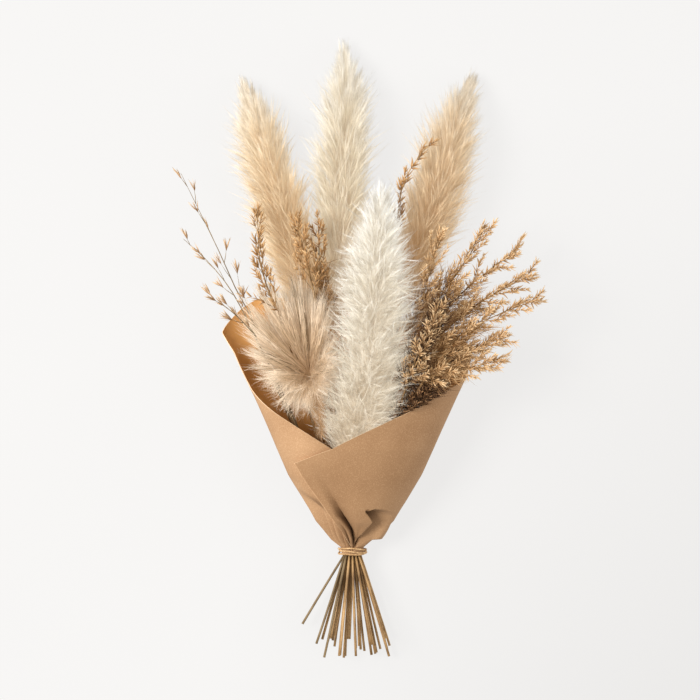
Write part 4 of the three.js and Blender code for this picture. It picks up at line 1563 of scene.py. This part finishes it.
@dataclass(frozen=True)
class Setting:
    """The sizes that go with a habit.

    Args:
        twig_lean: Least and most angle between a twig and the stem, in degrees.
        from_share: Share of a twig where its spikelets begin.
        lean: Least and most angle between a spikelet and its twig, in degrees.
        curl: How far a spikelet bends outward.
        slot: Material slot of the spikelets.
        cane: Radius of the stem at the base and at the tip of the head.
        clumps: Bunches of spikelets along a twig.
        bristles: Fine bristles on each twig.
        bristled: Share of the spray, from its base, that has the bristles.
        inside: Colours of the bristles; the near-black SHADE is painted shade.
        taper: How much shorter the twigs at the tip are.
    """

    twig_lean: Span
    from_share: float
    lean: Span
    curl: float
    slot: str = "brown_spikelets"
    cane: Span = (1.15, 0.4)
    clumps: int = 4
    bristles: int = 0
    bristled: float = 1.0
    inside: StalkFinish = SHADE
    taper: float = 0.62


SETTINGS = {
    Habit.OAT: Setting((18, 46), 0.6, (6, 34), 0.25, "oat_spikelets", cane=(0.75, 0.25), clumps=1),
    Habit.SPRIG: Setting((16, 36), 0.35, (20, 56), 0.3, clumps=3),
    Habit.EAR: Setting((14, 44), 0.14, (14, 56), 0.6, cane=(1.1, 0.4), clumps=6, bristles=44, bristled=0.5,
                       inside=CHAFF, taper=0.3),
    Habit.CURLED: Setting((24, 50), 0.15, (20, 64), 1.0, clumps=6, bristles=40),
}
HEAD_OVERLAP = 3.0  # a spray's stem is read up to this far below its head
TWIG_RADIUS = 0.425
BRISTLE_RADII = (0.18, 0.4)
BRISTLE_HALVES = (6, 13)  # least and most half of a bristle's length
BRISTLE_SPREAD = 3.6  # how far from its twig a bristle begins
BRISTLE_DROP = 5.0  # how far under its twig


@dataclass
class Spray:
    """A stem with side twigs that carry spikelets or bracts.

    Args:
        name: Name of the spray's node.
        habit: How its spikelets are set.
        finish: Colours of the spikelets.
        seed: For its random draws.
        twigs: Side twigs.
        bracts: Bracts on each twig.
        reach: Length of the longest twig.
        bract: Least and most length of a bract.
        width: Half the width of a bract.
        axis: Points from the base of its head to its tip.
    """

    name: str
    habit: Habit
    finish: StalkFinish
    seed: int
    twigs: int
    bracts: int
    reach: float
    bract: Span
    width: float
    axis: Points

    def build(self, bench: Bench, straw: bpy.types.Material) -> None:
        """Makes the stem with its twigs, the spikelets on them and the bristles between them.

        Args:
            bench: The shared shapes.
            straw: Material of the stem.
        """
        rng = np.random.default_rng(self.seed)
        setting = SETTINGS[self.habit]
        paths, turn = self.lay_out(rng)
        tone = rng.uniform(0, 1, self.twigs)
        stems, scales = Pile(), Pile()
        Stem(self.name, self.axis[0][1] - HEAD_OVERLAP, seed=self.seed).add_to(stems, bench)
        self._add_axis(stems, bench.cane)
        stems.grow(bench.twig, paths, TWIG_RADIUS, turn, tone=tone)
        bench.set_in(stems, f"{self.name}_stem", straw, "straw_stem", self.name)
        self._add_bracts(scales, bench.bract, paths, tone, rng)
        bench.set_in(scales, f"{self.name}_bracts", self.finish.make(bench.effects), setting.slot, self.name)
        if setting.bristles:
            inner = Pile()
            shaded = paths[:math.ceil(self.twigs * setting.bristled)]
            self._add_bristles(inner, bench.hair, shaded, setting.bristles, rng)
            inside = setting.inside.make(bench.effects)
            bench.set_in(inner, f"{self.name}_bristles", inside, setting.slot, self.name)

    def lay_out(self, rng: Rng) -> tuple[Array, Array]:
        """Lays out the twigs round the stem.

        Args:
            rng: Source of random numbers.

        Returns:
            Their control points, (twigs, 3, 3), and the turn of each one round the stem.
        """
        rail = Rail(self.axis)
        setting = SETTINGS[self.habit]
        order = (np.arange(self.twigs) + 0.5) / self.twigs
        root = np.clip(order * 0.97 + rng.normal(0, 0.012, self.twigs), 0, 0.985)
        turn = np.arange(self.twigs) * GOLDEN_ANGLE + rng.normal(0, 0.4, self.twigs)
        lean = np.radians(rng.uniform(*setting.twig_lean, self.twigs)) * (1.15 - 0.8 * setting.taper * order)
        length = self.reach * (1.1 - setting.taper * order) * rng.uniform(0.55, 1.05, self.twigs)
        way = rail.way(root)
        start = leaning(way, sideways(way, turn), lean)
        bend = unit(start + 0.45 * way + rng.normal(0, 0.14, (self.twigs, 3)))
        return sprouts(rail.at(root), start, bend, length), turn

    def _add_axis(self, pile: Pile, template: Template) -> None:
        """Adds the stem inside the head, from where the stem below it ends.

        Args:
            pile: Where it goes.
            template: The cane.
        """
        knots = Rail(self.axis).at(np.linspace(0, 1, 9))
        knots[0] = stem_rows(self.name, self.axis[0][1] - HEAD_OVERLAP)[-1]
        radii = np.linspace(*SETTINGS[self.habit].cane, len(knots) - 1)
        pile.grow(template, stretches(knots), radii, 0.0, tone=0.5)

    def _add_bracts(self, pile: Pile, template: Template, paths: Array, tone: Array, rng: Rng) -> None:
        """Sets the bracts round the twigs one after another, smaller and closer toward each end.

        Args:
            pile: Where they go.
            template: The bract.
            paths: The twigs.
            tone: How light each twig is.
            rng: Source of random numbers.
        """
        setting = SETTINGS[self.habit]
        count = self.twigs * self.bracts
        owner = np.repeat(np.arange(self.twigs), self.bracts)
        number = np.tile(np.arange(self.bracts), self.twigs)
        clump = np.floor(number * setting.clumps / self.bracts)
        along = np.minimum((clump + 0.75 + rng.uniform(-0.25, 0.25, count)) / setting.clumps, 1)
        share = setting.from_share + (1 - setting.from_share) * along
        place, way = spots(paths[owner], share)
        side = sideways(way, number * GOLDEN_ANGLE + rng.normal(0, 0.35, count) + owner)
        lean = np.radians(rng.uniform(*setting.lean, count) * (1.25 - 0.65 * share))
        start = leaning(way, side, lean)
        length = rng.uniform(*self.bract, count) * (1.1 - 0.25 * share)
        curl = setting.curl * side * rng.uniform(-0.3, 1.2, (count, 1))
        bend = unit(start + curl + rng.normal(0, 0.16, (count, 3)))
        radii = self.width * rng.uniform(0.75, 1.2, count)
        shade = np.clip(tone[owner] * 0.5 + rng.uniform(0, 0.5, count), 0, 1)
        pile.grow(template, sprouts(place, start, bend, length), radii, rng.uniform(0, ANY_TURN, count),
                  tone=shade, reach=np.clip(0.35 * share[:, None] + 0.65 * template.along[None], 0, 1))

    @staticmethod
    def _add_bristles(pile: Pile, template: Template, paths: Array, each: int, rng: Rng) -> None:
        """Adds fine bristles between and under the twigs; in SHADE's near-black colours they are painted
        shade.

        Args:
            pile: Where they go.
            template: The strand.
            paths: The twigs.
            each: Bristles on a twig.
            rng: Source of random numbers.
        """
        count = len(paths) * each
        place, way = spots(np.repeat(paths, each, axis=0), rng.uniform(0, 0.7, count))
        place = place + rng.normal(0, BRISTLE_SPREAD, (count, 3)) - BRISTLE_DROP * UP
        aim = unit(way + rng.normal(0, 0.26, (count, 3)))
        half = rng.uniform(*BRISTLE_HALVES, (count, 1))
        tip = place + aim * half * 2 + rng.normal(0, 2, (count, 3))
        curves = np.stack([place, place + aim * half, tip], axis=1)
        pile.grow(template, curves, rng.uniform(*BRISTLE_RADII, count), 0.0, tone=rng.uniform(0, 1, count),
                  reach=template.along[None])


# ---- Twine -----------------------------------------------------------------------------------


@dataclass
class Twine:
    """Jute twine wound almost three times round the neck: plies twisted together, with fuzz.

    Args:
        ring: Radius that it is wound on.
        radius: Of the twine.
        turns: Rounds of the neck.
        pitch: From one round to the next.
        twist: Length of one turn of the plies about each other.
        samples: Points along the twine, an odd number.
        plies: Yarns twisted together.
        ply_sides: Corners of a ply's section.
        ply_radius: Radius of a ply over that of the twine.
        fuzz: Loose fibres.
        fuzz_radius: Of a loose fibre.
        lowest: Height over the table that the twine keeps.
        seed: For its random draws.
    """

    ring: float = 15.6
    radius: float = 1.1
    turns: float = 2.8
    pitch: float = 2.6
    twist: float = 5.2
    samples: int = 133
    plies: int = 3
    ply_sides: int = 7
    ply_radius: float = 0.58
    fuzz: int = 900
    fuzz_radius: float = 0.06
    lowest: float = 0.2
    seed: int = 61

    def centre(self) -> Array:
        """Follows the twine's middle line, which wanders a little.

        Returns:
            Points along it, (samples, 3).
        """
        turn = np.linspace(0, self.turns, self.samples)
        angle = turn * FULL_TURN + math.radians(250)
        wander = 0.9 * np.sin(1.3 * angle) + 0.5 * np.sin(3.1 * angle + 1)
        y = TIE_Y + (turn - self.turns / 2) * self.pitch + wander
        ring = self.ring + 0.35 * np.sin(2.3 * angle)
        return np.stack([ring * np.cos(angle), y, NECK_Z + ring * np.sin(angle)], axis=-1)

    def build(self, bench: Bench, jute: bpy.types.Material) -> None:
        """Winds the plies and adds loose fibres.

        Args:
            bench: The shared shapes.
            jute: Its material.
        """
        pile = Pile()
        centre = self.centre()
        way = unit(np.gradient(centre, axis=0))
        out = unit(np.column_stack([centre[:, 0], 0 * centre[:, 1], centre[:, 2] - NECK_Z]))
        across = np.cross(way, out)
        along = run_along(centre)
        for ply in range(self.plies):
            phase = FULL_TURN * (along / self.twist + ply / self.plies)
            turned = out * np.cos(phase)[:, None] + across * np.sin(phase)[:, None]
            line = centre + self.radius * 0.5 * turned
            middles = line[1:-1:2] * 2 - (line[:-2:2] + line[2::2]) / 2
            pile.grow(bench.silk, np.stack([line[:-2:2], middles, line[2::2]], axis=1), 0.1, 0.0, tone=0.3)
            self._add_ply(pile, line, 0.35 + 0.15 * ply)
        self._add_fuzz(pile, bench.hair, centre, way, out)
        put_on(pile.to_object("jute_tie", jute, self.above_table), "jute_twine", "twine_tie")

    def above_table(self, points: Array) -> Array:
        """Presses the twine flat where it lies on the table."""
        return np.column_stack([points[:, :2], np.maximum(points[:, 2], self.lowest)])

    def _add_ply(self, pile: Pile, line: Array, tone: float) -> None:
        """Adds one ply as a closed tube.

        Args:
            pile: Where it goes.
            line: Points along its middle.
            tone: How light it is.
        """
        sides, last = self.ply_sides, (len(line) - 1) * self.ply_sides
        way = unit(np.gradient(line, axis=0))
        first = unit(np.cross(way, np.array([0.0, 1.0, 0.0])))
        second = np.cross(way, first)
        angles = (np.arange(sides) * FULL_TURN / sides)[None, :, None]
        around = first[:, None] * np.cos(angles) + second[:, None] * np.sin(angles)
        rings = line[:, None] + self.radius * self.ply_radius * around
        vertices = np.vstack([rings.reshape(-1, 3), line[:1], line[-1:]])
        corners = []
        for k in range(sides):
            beside = (k + 1) % sides
            for row in range(0, last, sides):
                a, b = row + k, row + beside
                corners += [(a, b, b + sides), (a, b + sides, a + sides)]
            corners += [(k, len(vertices) - 2, beside), (last + k, last + beside, len(vertices) - 1)]
        shape = Template(np.zeros((len(vertices), 2)), np.zeros(len(vertices)), np.array(corners))
        pile.add(shape, vertices[None], tone=tone)

    def _add_fuzz(self, pile: Pile, template: Template, centre: Array, way: Array, out: Array) -> None:
        """Adds loose fibres.

        Args:
            pile: Where they go.
            template: The strand.
            centre: Points on the twine's middle line.
            way: Its direction at each of them.
            out: The direction away from the neck at each of them.
        """
        rng = np.random.default_rng(self.seed)
        count = self.fuzz
        at = rng.integers(0, len(centre), count)
        side = unit(rng.normal(0, 1, (count, 3)) + out[at])
        start = centre[at] + side * self.radius * 0.8
        tip = start + side * rng.uniform(0.3, 1.4, (count, 1)) + way[at] * rng.normal(0, 1.5, (count, 1))
        curves = np.stack([start, (start + tip) / 2 + way[at] * 0.5, tip], axis=1)
        pile.grow(template, curves, self.fuzz_radius, 0.0, tone=rng.uniform(0, 1, count))


# ---- Studio ----------------------------------------------------------------------------------


@dataclass(frozen=True)
class Studio:
    """The pale floor, the light and the camera over it.

    Args:
        height: Of the camera over the floor.
        width: Of the floor that fills the picture.
        centre: What the camera looks at.
        sensor: Width of the camera's sensor.
        farthest: How far the camera sees, in metres.
        floor_size: Side of the floor, in metres.
        floor_drop: How far the floor is under the bundle, in metres.
        aim: What the lights face, in metres.
    """

    height: float = 2460.0
    width: float = 810.8
    centre: Span = (-2.9, 101.2)
    sensor: float = 36.0
    farthest: float = 20.0
    floor_size: float = 14.0
    floor_drop: float = 0.0004
    aim: tuple[float, float, float] = (0.02, 0.1, 0.05)

    def build(self) -> None:
        """Sets up the camera, the floor and the lights."""
        self._camera()
        self._floor()
        self._lights()

    def _camera(self) -> None:
        """Hangs the camera over the bundle, as the photograph was taken."""
        data = bpy.data.cameras.new("overhead")
        data.sensor_width = self.sensor
        data.lens = self.sensor * self.height / self.width
        data.clip_end = self.farthest
        camera = bpy.data.objects.new("overhead", data)
        camera.location = (self.centre[0] * MM, self.centre[1] * MM, self.height * MM)
        bpy.context.scene.collection.objects.link(camera)
        bpy.context.scene.camera = camera

    def _floor(self) -> None:
        """Lays a wide matt white floor, with a faint painted shadow at the lower right."""
        deselect_all()
        bpy.ops.mesh.primitive_plane_add(size=self.floor_size, location=(0, 0, -self.floor_drop))
        floor = bpy.context.object
        floor.name = "white_floor"
        material, desk, shader = new_material("white_floor")
        noise = desk.noise(Vector=desk.place(), Scale=3.0)
        side = desk.add("SeparateXYZ", {0: desk.place()}).outputs
        # painted shadow: less emission toward the lower right
        right = desk.share_of(side["X"], -0.15, 0.4)
        low = desk.share_of(side["Y"], 0.4, -0.3)
        corner_shadow = desk.math("MULTIPLY", right, low)
        desk.feed(shader, {
            "Base Color": desk.ramp(noise, (0.3, (0.05, 0.0495, 0.0485)), (0.7, (0.054, 0.0535, 0.0525))),
            "Roughness": 0.9,
            "Emission Color": (1, 0.99, 0.98, 1),
            "Emission Strength": desk.math("MULTIPLY_ADD", corner_shadow, -0.085, 0.805)})
        floor.data.materials.append(material)

    def _lights(self) -> None:
        """A soft bright room, and a large window from the upper left."""
        scene = bpy.context.scene
        scene.view_settings.view_transform = "Standard"
        world = bpy.data.worlds.new("room")
        world.use_nodes = True
        background = world.node_tree.nodes["Background"].inputs
        background["Color"].default_value = (1.0, 0.975, 0.94, 1)
        background["Strength"].default_value = 0.5
        scene.world = world
        self._area_light("window", (-2.3, 0.5, 2.9), 1.5, 205)
        self._area_light("reflector", (2.6, -0.4, 1.7), 2.2, 46)

    def _area_light(self, name: str, place: tuple[float, float, float], size: float, energy: float) -> None:
        """Hangs a square light that faces the bundle.

        Args:
            name: Of the light.
            place: Where it hangs, in metres.
            size: Of its side, in metres.
            energy: In watts.
        """
        data = bpy.data.lights.new(name, "AREA")
        data.shape = "SQUARE"
        data.size = size
        data.energy = energy
        data.color = (1.0, 0.985, 0.965)
        light = bpy.data.objects.new(name, data)
        light.location = place
        x, y, z = np.array(self.aim) - np.array(place)
        light.rotation_euler = (math.atan2(math.hypot(x, y), -z), 0, math.atan2(x, -y) + math.pi)
        bpy.context.scene.collection.objects.link(light)


# ---- The bundle ------------------------------------------------------------------------------

PLUMES = (
    Plume("plume_left", "golden_plume",
          ((-54, 172, 27), (-73, 230, 33), (-90, 290, 36), (-106, 350, 31), (-129, 418, 9)),
          41, GOLDEN, seed=11, drape=0.3, skirt=80, spine=0.26),
    Plume("plume_back", "cream_plume",
          ((-17, 206, 28), (-13, 265, 33), (-11, 324, 36), (-8, 385, 30), (-10, 461, 9)),
          38, CREAM, seed=12, skirt=95),
    Plume("plume_right", "tan_plume",
          ((64, 190, 28), (87, 250, 36), (105, 312, 36), (119, 364, 30), (141, 420, 10)),
          40, TAN, seed=13, drape=0.2, skirt=60, spine=0.26),
    Plume("plume_front", "ivory_plume",
          ((-7, -34, 47), (3, 10, 60), (18, 75, 80), (24, 150, 90), (29, 235, 95), (37, 298, 90)),
          51, IVORY, seed=14, tufts=560, locks=8, strands=5, down=36, run=36, hair=(22, 46), spread=(10, 58),
          fullness=0.78, bow=0.24, curl=0.5, skirt=6, spine=0.22),
)

# Name, habit, finish, seed, twigs, bracts on each, longest twig, bract lengths and half width, axis.
SPRAYS = tuple(Spray(*row) for row in (
    ("oat_spray_tall", Habit.OAT, OAT, 31, 8, 7, 32, (12, 20), 0.9,
     ((-108, 130, 58), (-125, 157, 62), (-135, 177, 62), (-151, 213, 62), (-170, 252, 62), (-194, 301, 62))),
    ("oat_spray_side", Habit.OAT, OAT, 32, 7, 6, 28, (12, 20), 0.9,
     ((-112, 122, 70), (-135, 166, 76), (-160, 198, 78), (-190, 226, 78))),
    ("oat_spray_low", Habit.OAT, OAT, 33, 7, 7, 28, (12, 20), 0.95,
     ((-104, 112, 84), (-126, 136, 90), (-143, 150, 90), (-160, 160, 90))),
    ("brown_sprig_left", Habit.SPRIG, CHAFF, 34, 22, 10, 32, (8, 13), 1.0,
     ((-76, 132, 86), (-93, 165, 92), (-104, 205, 93), (-106, 252, 92))),
    ("brown_spray_a", Habit.SPRIG, CHAFF, 35, 26, 10, 38, (7, 12), 1.0,
     ((-42, 158, 80), (-49, 190, 84), (-62, 243, 84))),
    ("brown_spray_b", Habit.EAR, CHAFF, 36, 18, 16, 30, (6, 10), 0.9,
     ((-31, 136, 50), (-33, 168, 62), (-37, 200, 72), (-39, 245, 76))),
    ("brown_sprig_centre", Habit.SPRIG, CHAFF, 37, 12, 8, 28, (10, 15), 1.05,
     ((50, 222, 62), (52, 262, 66), (60, 296, 70), (84, 331, 72))),
    ("spray_top", Habit.EAR, BROWN, 38, 22, 22, 39, (6, 11), 0.92,
     ((62, 110, 52), (80, 165, 78), (96, 226, 82))),
    ("spray_upper", Habit.EAR, BROWN, 39, 22, 22, 39, (6, 11), 0.92,
     ((66, 120, 40), (112, 180, 76), (151, 238, 82))),
    ("spray_outer_a", Habit.EAR, BROWN, 40, 24, 22, 36, (6, 11), 0.92,
     ((74, 108, 50), (128, 170, 66), (184, 213, 72))),
    ("spray_outer_b", Habit.EAR, BROWN, 41, 24, 22, 36, (6, 11), 0.92,
     ((78, 100, 68), (136, 150, 84), (200, 186, 88))),
    ("spray_outer_c", Habit.EAR, BROWN, 42, 24, 22, 34, (6, 11), 0.92,
     ((74, 84, 82), (140, 130, 102), (205, 158, 104))),
    ("spray_side", Habit.EAR, BROWN, 43, 20, 22, 34, (6, 11), 0.92,
     ((84, 84, 66), (124, 100, 82), (166, 114, 86))),
    ("spray_low", Habit.EAR, BROWN, 44, 22, 22, 33, (6, 11), 0.92,
     ((70, 66, 96), (112, 78, 112), (157, 88, 112))),
    ("bushy_spray_a", Habit.CURLED, BROWN, 45, 34, 18, 30, (7, 11), 1.0,
     ((58, 56, 84), (76, 98, 106), (98, 150, 114))),
    ("bushy_spray_b", Habit.CURLED, DARK_BROWN, 46, 36, 15, 26, (6, 9), 1.0,
     ((60, 30, 64), (86, 62, 80), (112, 90, 88))),
    ("bushy_spray_c", Habit.CURLED, DARK_BROWN, 47, 36, 15, 26, (6, 9), 1.0,
     ((52, 16, 82), (72, 42, 96), (94, 62, 98))),
))


def main() -> None:
    """Builds the bundle in order: studio, wrap, stems, plumes, fan, sprays and twine."""
    logging.basicConfig(level=logging.INFO, format="%(message)s")
    Studio().build()
    bench = Bench.set_up()
    bench.wrap.build(*(finish.make(bench.effects) for finish in (KRAFT, KRAFT_IN, KRAFT_EDGE)))
    straw, olive, jute = (finish.make(bench.effects) for finish in (STRAW, OLIVE, JUTE))
    build_bare_stems(bench, straw)
    for plume in PLUMES:
        plume.build(bench)
    Fan(BLUSH).build(bench)
    for spray in SPRAYS:
        spray.build(bench, olive if spray.habit is Habit.OAT else straw)
    Twine().build(bench, jute)


if __name__ == "__main__":
    main()
